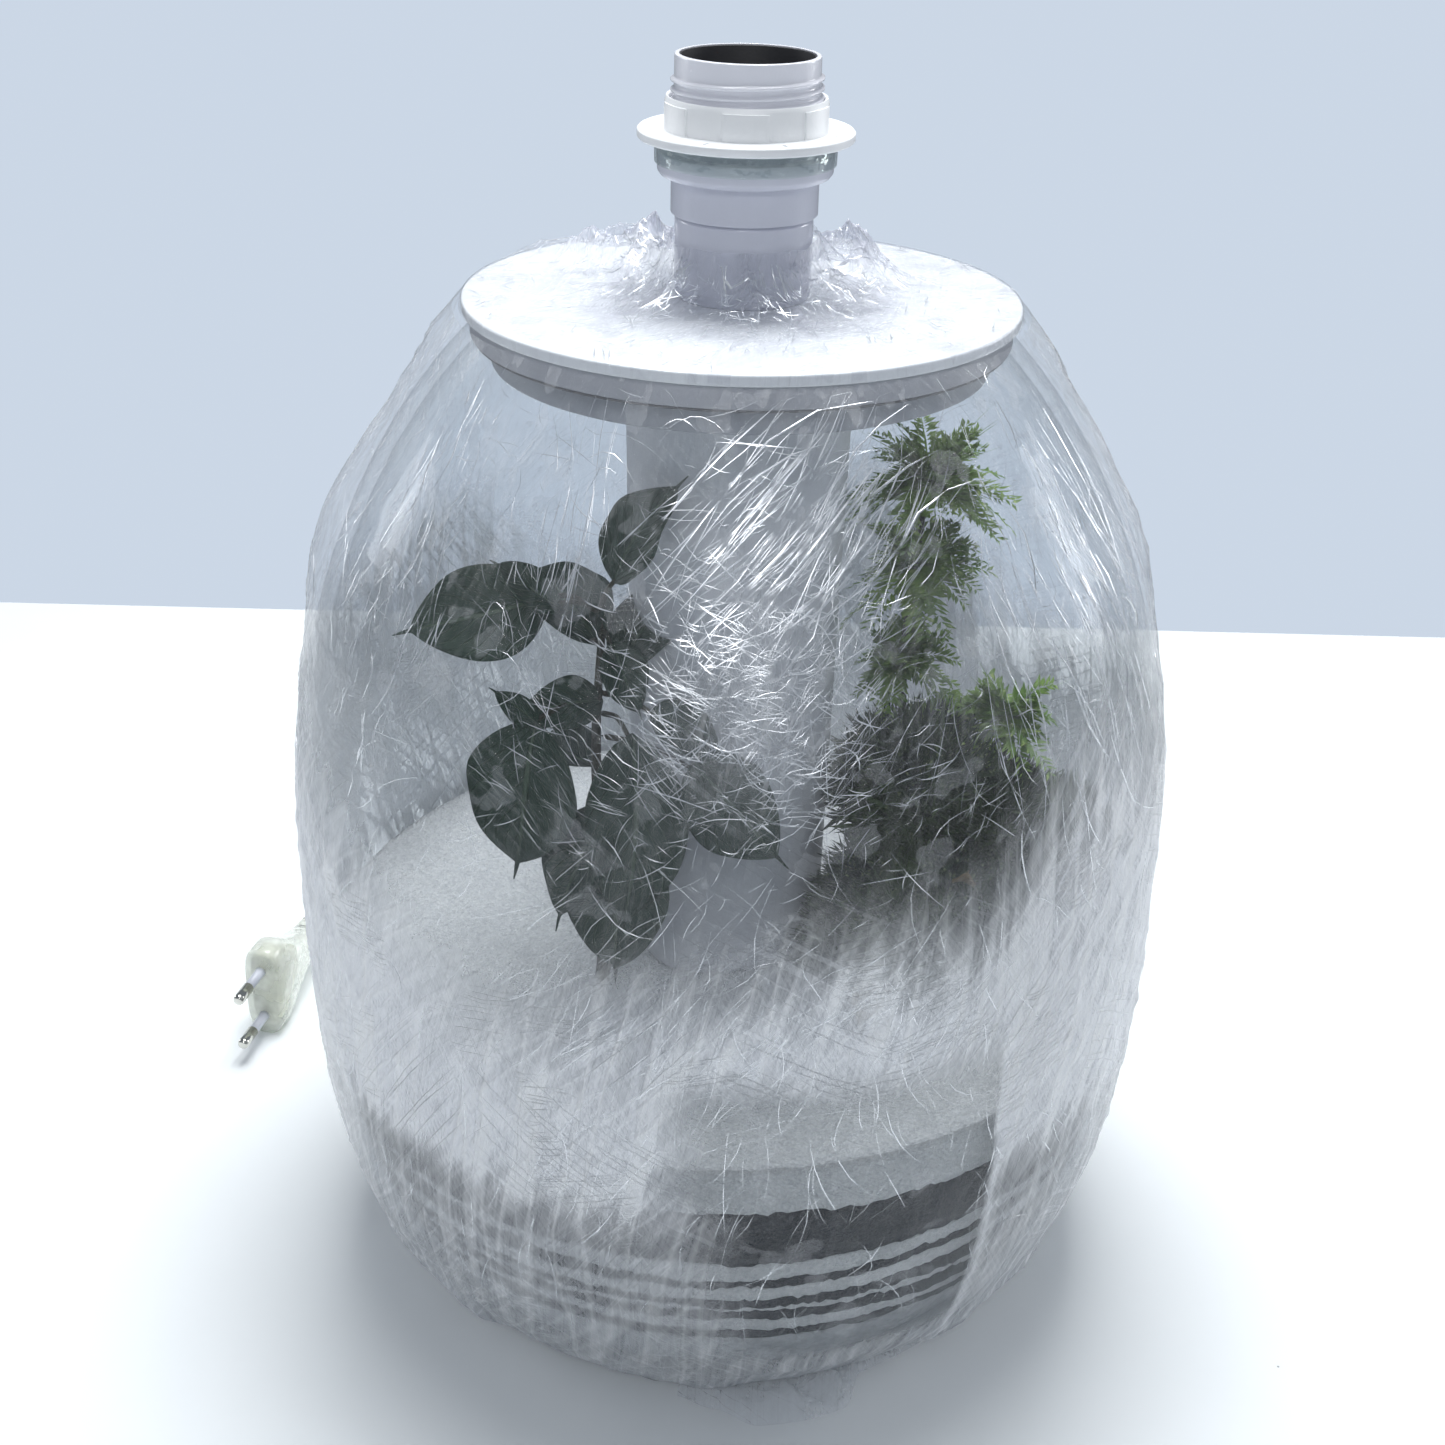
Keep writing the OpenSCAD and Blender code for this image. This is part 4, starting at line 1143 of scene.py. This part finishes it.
# %% Film: where it is white
def film_haze_and_painted_light(turn, z):
    """How white the film is, 0 to 1: heavy round the lower half, clear at one window in front of the sand,
    and soft patches elsewhere. Two of its terms are painted light: a white spot at the front is a painted
    highlight where the glint light's reflection gathers, and whiter bands at the two sides are painted sheen
    where the front view grazes the film."""
    degrees = from_front(turn)
    edge = 0.150 + 0.014 * np.sin(degrees / 23) + 0.030 * (hills(turn * 14, 0 * z, 21, 14, 2) - 0.5)
    edge = edge + 0.034 * smooth_step(abs(degrees), 26, 52)
    low = smooth_step(z, edge + 0.024, edge - 0.040)
    left = -6 + (0.125 - z) * 120 + 5 * (hills(0 * turn, z / 0.014, 24, 2, 64) - 0.5)
    window = smooth_step(degrees, left - 8, left + 4) * (1 - smooth_step(degrees, 34, 36))
    window = window * smooth_step(z, 0.140, 0.118) * smooth_step(z, 0.026, 0.036)
    patch = hills(turn * 11, z / 0.03, 22, 11, 16) * hills(turn * 26, z / 0.013, 23, 26, 32)
    # painted highlight: the film is whitened at the front, round the height where the glint light's
    # reflection gathers
    painted_glint = 0.30 * bell(degrees, 3, 9) * bell(z, 0.230, 0.022)
    # painted sheen: whiter bands at the two sides, where the front view grazes the film
    sides = 0.07 * bell(abs(degrees), 74, 20)
    low = low * (1 - 0.68 * smooth_step(z, 0.104, 0.076))
    haze_and_painted_light = 0.015 + 0.12 * patch + sides + painted_glint + low * (0.84 + 0.36 * patch)
    haze_and_painted_light = haze_and_painted_light * (1 - 0.95 * window) + 0.20 * bell(degrees, 35.5, 0.8) * (z < 0.122)
    return haze_and_painted_light


def with_haze_and_painted_light(made, haze_and_painted_light):
    """Lays the whiteness of each point, from the film and from painted light, kept between 0 and 1, on the
    mesh for the film's finish to read.
    """
    layer = made.data.attributes.new("haze_and_painted_light", "FLOAT", "POINT")
    layer.data.foreach_set("value", np.clip(haze_and_painted_light, 0, 1).ravel().astype(np.float32))
    return made


# %% Film: the sleeve round the barrel
FILM_TURNS, FILM_RISE = 440, 200
# one turn of the film as a length, at its mean radius
ROUND = 2 * np.pi * 0.118


def film_sleeve():
    """A grid once round and from the foot to the hem. Its UV is in metres, so a fibre keeps its width."""
    turn = np.arange(FILM_TURNS)[:, None] / FILM_TURNS + 0.5
    z = FILM_LOW + (HEM_Z - FILM_LOW) * np.linspace(0, 1, FILM_RISE)[None, :] ** 0.94
    turn, z = np.broadcast_arrays(turn, z)
    points = film_points(turn, z).reshape(-1, 3)
    faces = grid_faces(FILM_TURNS, FILM_RISE, True)
    row, column = np.divmod(faces, FILM_RISE)
    row[:, 1:3] = row[:, 0:1] + 1
    heights = z[0][column]
    uv = np.stack([row / FILM_TURNS * ROUND, heights], -1)
    made = piece("film_sleeve", points, faces, "base", "stretch_film", ["film_side"], uv=uv, weld=False)
    return with_haze_and_painted_light(made, film_haze_and_painted_light(turn, z))


sleeve = film_sleeve()
print("film sleeve", len(sleeve.data.polygons), "faces")

# %% [markdown]
# ## Hairline creases
# The bright scratches on wrapped film are folds a fraction of a millimetre wide. A bump map can't hold them
# at this distance, so each is a real sliver: two long faces along a line that follows the film. They come
# in families, and a family has a place, a spread, an angle and a length.

# %% Creases: slivers on the film
CREASE_STEPS, CREASE_GAP = 6, 0.00012
# count, degrees, spread, height, spread, angle, spread, length, spread, width (millimetres and degrees)
CREASES = [
    (520, 2, 8, 229, 15, 160, 20, 8, 5, 0.42), (380, 3, 7, 226, 14, 55, 28, 7, 4, 0.38),
    (90, 8, 8, 264, 9, 38, 5, 30, 10, 0.34), (34, 9, 6, 261, 7, 40, 3, 62, 14, 0.85),
    (70, 16, 9, 248, 16, 42, 8, 28, 9, 0.32), (26, 56, 4, 238, 14, 107, 4, 62, 14, 0.95),
    (40, 50, 7, 240, 22, 108, 7, 34, 12, 0.60), (26, 39, 3, 226, 22, 98, 5, 44, 9, 0.60),
    (120, -50, 5, 240, 22, 84, 12, 12, 7, 0.60), (34, -24, 4, 258, 12, 91, 5, 30, 10, 0.45),
    (220, -18, 12, 222, 20, 145, 18, 9, 5, 0.32), (180, 18, 15, 206, 14, 20, 28, 9, 6, 0.28),
    (50, -2, 22, 274, 8, 174, 8, 16, 8, 0.26), (220, 180, 110, 210, 45, 55, 14, 18, 9, 0.26),
    (180, 180, 110, 205, 45, 128, 14, 17, 8, 0.26), (150, 0, 180, 190, 50, 88, 16, 16, 8, 0.26),
    (160, -38, 30, 90, 45, 76, 14, 24, 10, 0.30), (130, 44, 22, 100, 45, 104, 14, 22, 10, 0.30),
    (160, 0, 180, 60, 40, 68, 22, 20, 8, 0.28), (160, -2, 16, 150, 18, 48, 14, 22, 8, 0.22),
]


def each(values):
    """One value for each crease, shaped to spread over the crease's steps and its three lines."""
    return values[:, None, None]


def section(width, tall):
    """A crease's two edges and middle line: how far to the side, and how high. Both shrink towards its ends
    as 1 - (2 s)^2, where s runs from -1/2 to 1/2 along it."""
    s = np.linspace(-0.5, 0.5, CREASE_STEPS)[None, :, None]
    taper = 1 - (2 * s) ** 2
    side = np.array([-1.0, 0, 1]) * each(width) / 2 * (taper + 0.02)
    return s, side, np.array([0.0, 1, 0]) * each(width * tall) * taper


def sliver_faces(count):
    """The faces of count creases, one after another."""
    one = grid_faces(CREASE_STEPS, 3)
    return (one[None] + np.arange(count)[:, None, None] * CREASE_STEPS * 3).reshape(-1, 4)


def slivers(families, seed):
    """All creases as one array of points and faces. A crease bends a little, narrows at its two ends and
    is highest along its middle."""
    rng = np.random.default_rng(seed)
    rows = np.repeat(np.array(families, float), [int(f[0]) for f in families], axis=0)
    place, place_spread, height, height_spread, slant, slant_spread, long, long_spread, wide = rows.T[1:]
    n = len(rows)
    spread = rng.normal(0, 1, (n, 5)).T
    turn = (place + place_spread * spread[0]) / 360
    z = (height + height_spread * spread[1]) * MM
    angle = np.radians(slant + slant_spread * spread[2])
    length = np.clip(long + long_spread * spread[3], 3, None) * MM
    width = wide * rng.uniform(0.25, 0.80, n) * MM
    s, side, ridge = section(width, 0.05 + 0.16 * spread[4] ** 2)
    along = each(length) * s
    across = each(0.10 * spread[4] * length) * (4 * s ** 2 - 1) + side
    run, rise = each(np.cos(angle)), each(np.sin(angle))
    turns = each(turn) + (along * run - across * rise) / ROUND
    heights = np.clip(each(z) + along * rise + across * run, 0.006, HEM_Z - 0.001)
    points = film_points(turns, heights, CREASE_GAP + ridge)
    return points.reshape(-1, 3), sliver_faces(n)


points, faces = slivers(CREASES, 5)
creases = piece("film_creases", points, faces, "base", "stretch_film", finish="film_crease", weld=False)
print(len(faces), "crease faces")

# %% [markdown]
# ## Film over the lid
# The film's last turns are pulled over the lid and gathered round the lampholder's foot, where they crumple.
# A crumple is a sum of sharp ridges at three sizes. It is tall near the holder, with loose peaks behind it,
# and lies almost flat on the rest of the lid.

# %% Film over the lid: height
HOOD_R = np.array([19.3, 20.3, 22.5, 27, 34, 45, 60, 72.5, 74.3, 74.7]) * MM
HOOD_Z = np.array([309.0, 304.0, 299.5, 296.6, 295.0, 294.7, 294.6, 294.6, 294.2, 291.6]) * MM


def crumple(x, y, seed):
    """Sharp ridges at three sizes, 0 to about 1."""
    tall = ridges(x / 0.013 + 0.3 * y / 0.013, y / 0.011 + 50, seed, 64, 64) ** 2
    mid = ridges(x / 0.006 - y / 0.011, y / 0.007 + x / 0.013 + 80, seed + 1, 64, 64) ** 2
    small = ridges(x / 0.003 + 200, y / 0.0032 + 200, seed + 2, 64, 64) ** 2
    return 0.60 * tall + 0.30 * mid + 0.10 * small


def hood_height(x, y):
    """Height of the film over the lid: the gathered foot, the crumple and three loose peaks."""
    r = np.hypot(x, y)
    base = np.interp(r, HOOD_R, HOOD_Z)
    foot = smooth_step(r, 0.046, 0.023) * smooth_step(r, 0.0193, 0.0215)
    edge = smooth_step(r, 0.0735, 0.070)
    rough = crumple(x, y, 31)
    peaks = 0.017 * bell(x, -0.031, 0.013) * bell(y, 0.021, 0.013)
    peaks = peaks + 0.012 * bell(x, 0.030, 0.011) * bell(y, 0.012, 0.012)
    peaks = peaks + 0.006 * bell(x, -0.050, 0.012) * bell(y, 0.030, 0.012)
    return base + rough * (0.0050 * foot + 0.0003 * edge) + peaks * edge * (0.45 + 0.7 * rough)


# %% Film over the lid: the hood
HOOD_TURNS, HOOD_STEPS = 420, 150


def film_hood():
    """A polar grid from the holder's foot to the lid's edge, whose last tenth hangs down beside the edge."""
    t = np.linspace(0, 2 * np.pi, HOOD_TURNS, endpoint=False)[:, None]
    share = np.linspace(0, 1, HOOD_STEPS)[None, :]
    r = np.interp(share, [0, 0.90, 1], [HOOD_R[0], LID_R, HOOD_R[-1]]) + 0 * t
    wobble = (hills(t * 20 / (2 * np.pi), share * 8, 33, 20, 16) - 0.5) * smooth_step(r, 0.030, 0.022)
    x, y = r * (1 + 0.02 * wobble) * np.cos(t), r * (1 + 0.02 * wobble) * np.sin(t)
    low = np.interp(share, [0.90, 0.95, 1], [0, 0.45, 1]) + 0 * t
    z = hood_height(x, y) * (1 - low) + HOOD_Z[-1] * low
    points = np.stack([x, y, z], -1).reshape(-1, 3)
    faces = grid_faces(HOOD_TURNS, HOOD_STEPS, True)[:, ::-1]
    made = piece("film_hood", points, faces, "lid", "stretch_film", ["film_top"], "hood_film_painted_shade",
                 uv=points[faces.ravel()][:, :2], weld=False)
    rough = crumple(x, y, 31)
    near = smooth_step(r, 0.060, 0.024)
    peaks = bell(x, -0.033, 0.018) * bell(y, 0.024, 0.018) + bell(x, 0.032, 0.014) * bell(y, 0.014, 0.014)
    # painted shade: these patches, in the hood's grey film colours, darken the film over the white lid
    patch = hills(x / 0.016, y / 0.011, 35, 32, 32) ** 3
    return with_haze_and_painted_light(made, 0.01 + 0.34 * near * rough + 0.20 * peaks * rough + 0.16 * patch)


hood = film_hood()
print("film hood", len(hood.data.polygons), "faces")


# %% Creases of the hood
def hood_slivers(count, seed):
    """Short bright folds, thick round the holder's foot and rare towards the lid's edge."""
    rng = np.random.default_rng(seed)
    r = 0.0215 + abs(rng.normal(0, 0.013, count))
    r = np.minimum(r + (rng.random(count) < 0.35) * rng.uniform(0, 0.045, count), 0.0700)
    t = rng.uniform(0, 2 * np.pi, count)
    angle = t + rng.normal(0, 0.9, count)
    length = rng.uniform(0.003, 0.011, count)
    s, side, ridge = section(rng.uniform(0.00012, 0.00034, count), 0.15)
    along = each(length) * s
    run, rise = each(np.cos(angle)), each(np.sin(angle))
    x = each(r * np.cos(t)) + along * run - side * rise
    y = each(r * np.sin(t)) + along * rise + side * run
    outwards = np.maximum(np.hypot(x, y), 0.0199) / np.hypot(x, y)
    x, y = x * outwards, y * outwards
    points = np.stack([x, y, hood_height(x, y) + 0.0001 + ridge], -1)
    return points.reshape(-1, 3), sliver_faces(count)


points, faces = hood_slivers(1300, 8)
hood_creases = piece("hood_creases", points, faces, "lid", "stretch_film", finish="film_crease", weld=False)

# %% [markdown]
# ## The film's loose end
# At the foot the film is bunched under the barrel, and a crumpled tongue of it lies on the table in front.

# %% The loose end on the table
def film_tongue():
    """A ragged strip that follows the foot: its inner edge is tucked under the barrel."""
    t = np.radians(np.linspace(-6, 40, 150))[:, None]
    share = np.linspace(0, 1, 26)[None, :]
    reach = 0.015 * (0.35 + 0.9 * hills(t * 9 + 20, 0 * t, 51, 64, 2)) * np.cos((t - 0.2) * 1.6) ** 0.6
    r = 0.0935 + share * reach
    x, y = r * np.sin(t), -r * np.cos(t)
    z = 0.0010 + 0.0060 * crumple(x, y, 52) * np.sin(np.pi * share) ** 0.7 + 0.0016 * share
    points = np.stack([x, y, z], -1).reshape(-1, 3)
    faces = grid_faces(150, 26)
    made = piece("film_tongue", points, faces, "base", "stretch_film", uv=points[faces.ravel()][:, :2],
                 weld=False)
    return with_haze_and_painted_light(made, 0.08 + 0.2 * crumple(x, y, 57))


tongue = film_tongue()

# %% [markdown]
# ## CAD parts that keep their shape
# The glass barrel, the contacts, the screws and the lead inside the column already have their true shape.
# They only need their finish.

# %% Finishes on the CAD parts
kept = {"clear_glass": ["vessel"], "ring_white": ["shade_ring"], "holder_black": ["cord_clamp"],
        "contact_brass": ["screw_shell", "centre_contact", "side_contact", "nipple"],
        "plated_steel": ["terminal_screws", "nipple_nut", "nipple_washer"], "cord_pvc": ["inner_lead"]}
for slot, nodes in kept.items():
    for node in nodes:
        NODES[node].data.materials[0] = FINISH[slot]

# %% [markdown]
# ## Table, wall colour and light
# The lamp stands on a white table that ends a little behind it, in front of a pale blue-grey wall. The wall
# is the world's own colour, so that no view is blocked. One broad soft light hangs over the table and washes
# it out, a weaker one near the viewer puts the glints on the film, and two at the sides brighten its edges.

# %% Table
TABLE_X, TABLE_Y, TABLE_Z = (-1.6, 1.6), (-1.5, 0.456), (-0.03, 0.0)


def table_top():
    """A wide slab whose far edge is just behind the lamp."""
    finish = Finish("table_white")
    fine = finish.noise(finish.place, 30, 3)
    tone = finish.blend(fine, (0.90, 0.93, 0.94), (0.93, 0.955, 0.965))
    speck = finish.grains(26).over(0.012, 0.006)
    tone = finish.blend(speck * fine.over(0.5, 0.6), tone, (0.35, 0.35, 0.36))
    finish.done(finish.surface(tone, 0.55, Normal=finish.bump(fine, 0.0002)))
    corners = [(x, y, z) for x in TABLE_X for y in TABLE_Y for z in TABLE_Z]
    sides = [[0, 1, 3, 2], [4, 6, 7, 5], [0, 4, 5, 1], [2, 3, 7, 6], [0, 2, 6, 4], [1, 5, 7, 3]]
    mesh = bpy.data.meshes.new("table")
    mesh.from_pydata(corners, [], sides)
    mesh.materials.append(FINISH["table_white"])
    table = bpy.data.objects.new("table", mesh)
    bpy.context.collection.objects.link(table)


table_top()


# %% World and lights
WALL_COLOUR, ROOM_LIGHT = (0.60, 0.68, 0.79, 1), 0.31
SKY_WHITE, LAMP_MIDDLE = (0.97, 0.98, 1.0), (0, 0, 0.2)


def soft_light(name, place, aim, size, power, colour=SKY_WHITE):
    """A square area light that looks at a point."""
    light = bpy.data.lights.new(name, "AREA")
    light.shape, light.size, light.energy, light.color = "SQUARE", size, power, colour
    made = bpy.data.objects.new(name, light)
    bpy.context.collection.objects.link(made)
    way = Vector(place) - Vector(aim)
    made.matrix_world = Matrix.Translation(place) @ way.to_track_quat("Z", "Y").to_matrix().to_4x4()


def wall_colour():
    """The wall's colour for whatever looks straight at it, and a darker room for the light it gives."""
    world = bpy.data.worlds.new("wall")
    bpy.context.scene.world = world
    world.use_nodes = True
    tree = world.node_tree
    seen = tree.nodes.new("ShaderNodeLightPath")
    strength = tree.nodes.new("ShaderNodeMapRange")
    strength.inputs["To Min"].default_value = ROOM_LIGHT
    tree.links.new(seen.outputs["Is Camera Ray"], strength.inputs["Value"])
    background = tree.nodes["Background"]
    background.inputs["Color"].default_value = WALL_COLOUR
    tree.links.new(strength.outputs[0], background.inputs["Strength"])


wall_colour()
soft_light("overhead", (0.02, 0.27, 1.32), (0, 0.04, 0), 0.7, 19.0, (0.97, 0.99, 1.0))
soft_light("glint", (-0.05, -1.37, 1.22), LAMP_MIDDLE, 0.30, 4.5)
soft_light("right_window", (1.55, 0.80, 0.42), LAMP_MIDDLE, 0.5, 6.0)
soft_light("left_window", (-1.55, 0.80, 0.42), LAMP_MIDDLE, 0.5, 4.0)
bpy.context.scene.view_settings.view_transform = "Standard"
bpy.context.scene.cycles.transparent_max_bounces = 48
bpy.context.scene.cycles.max_bounces = 8
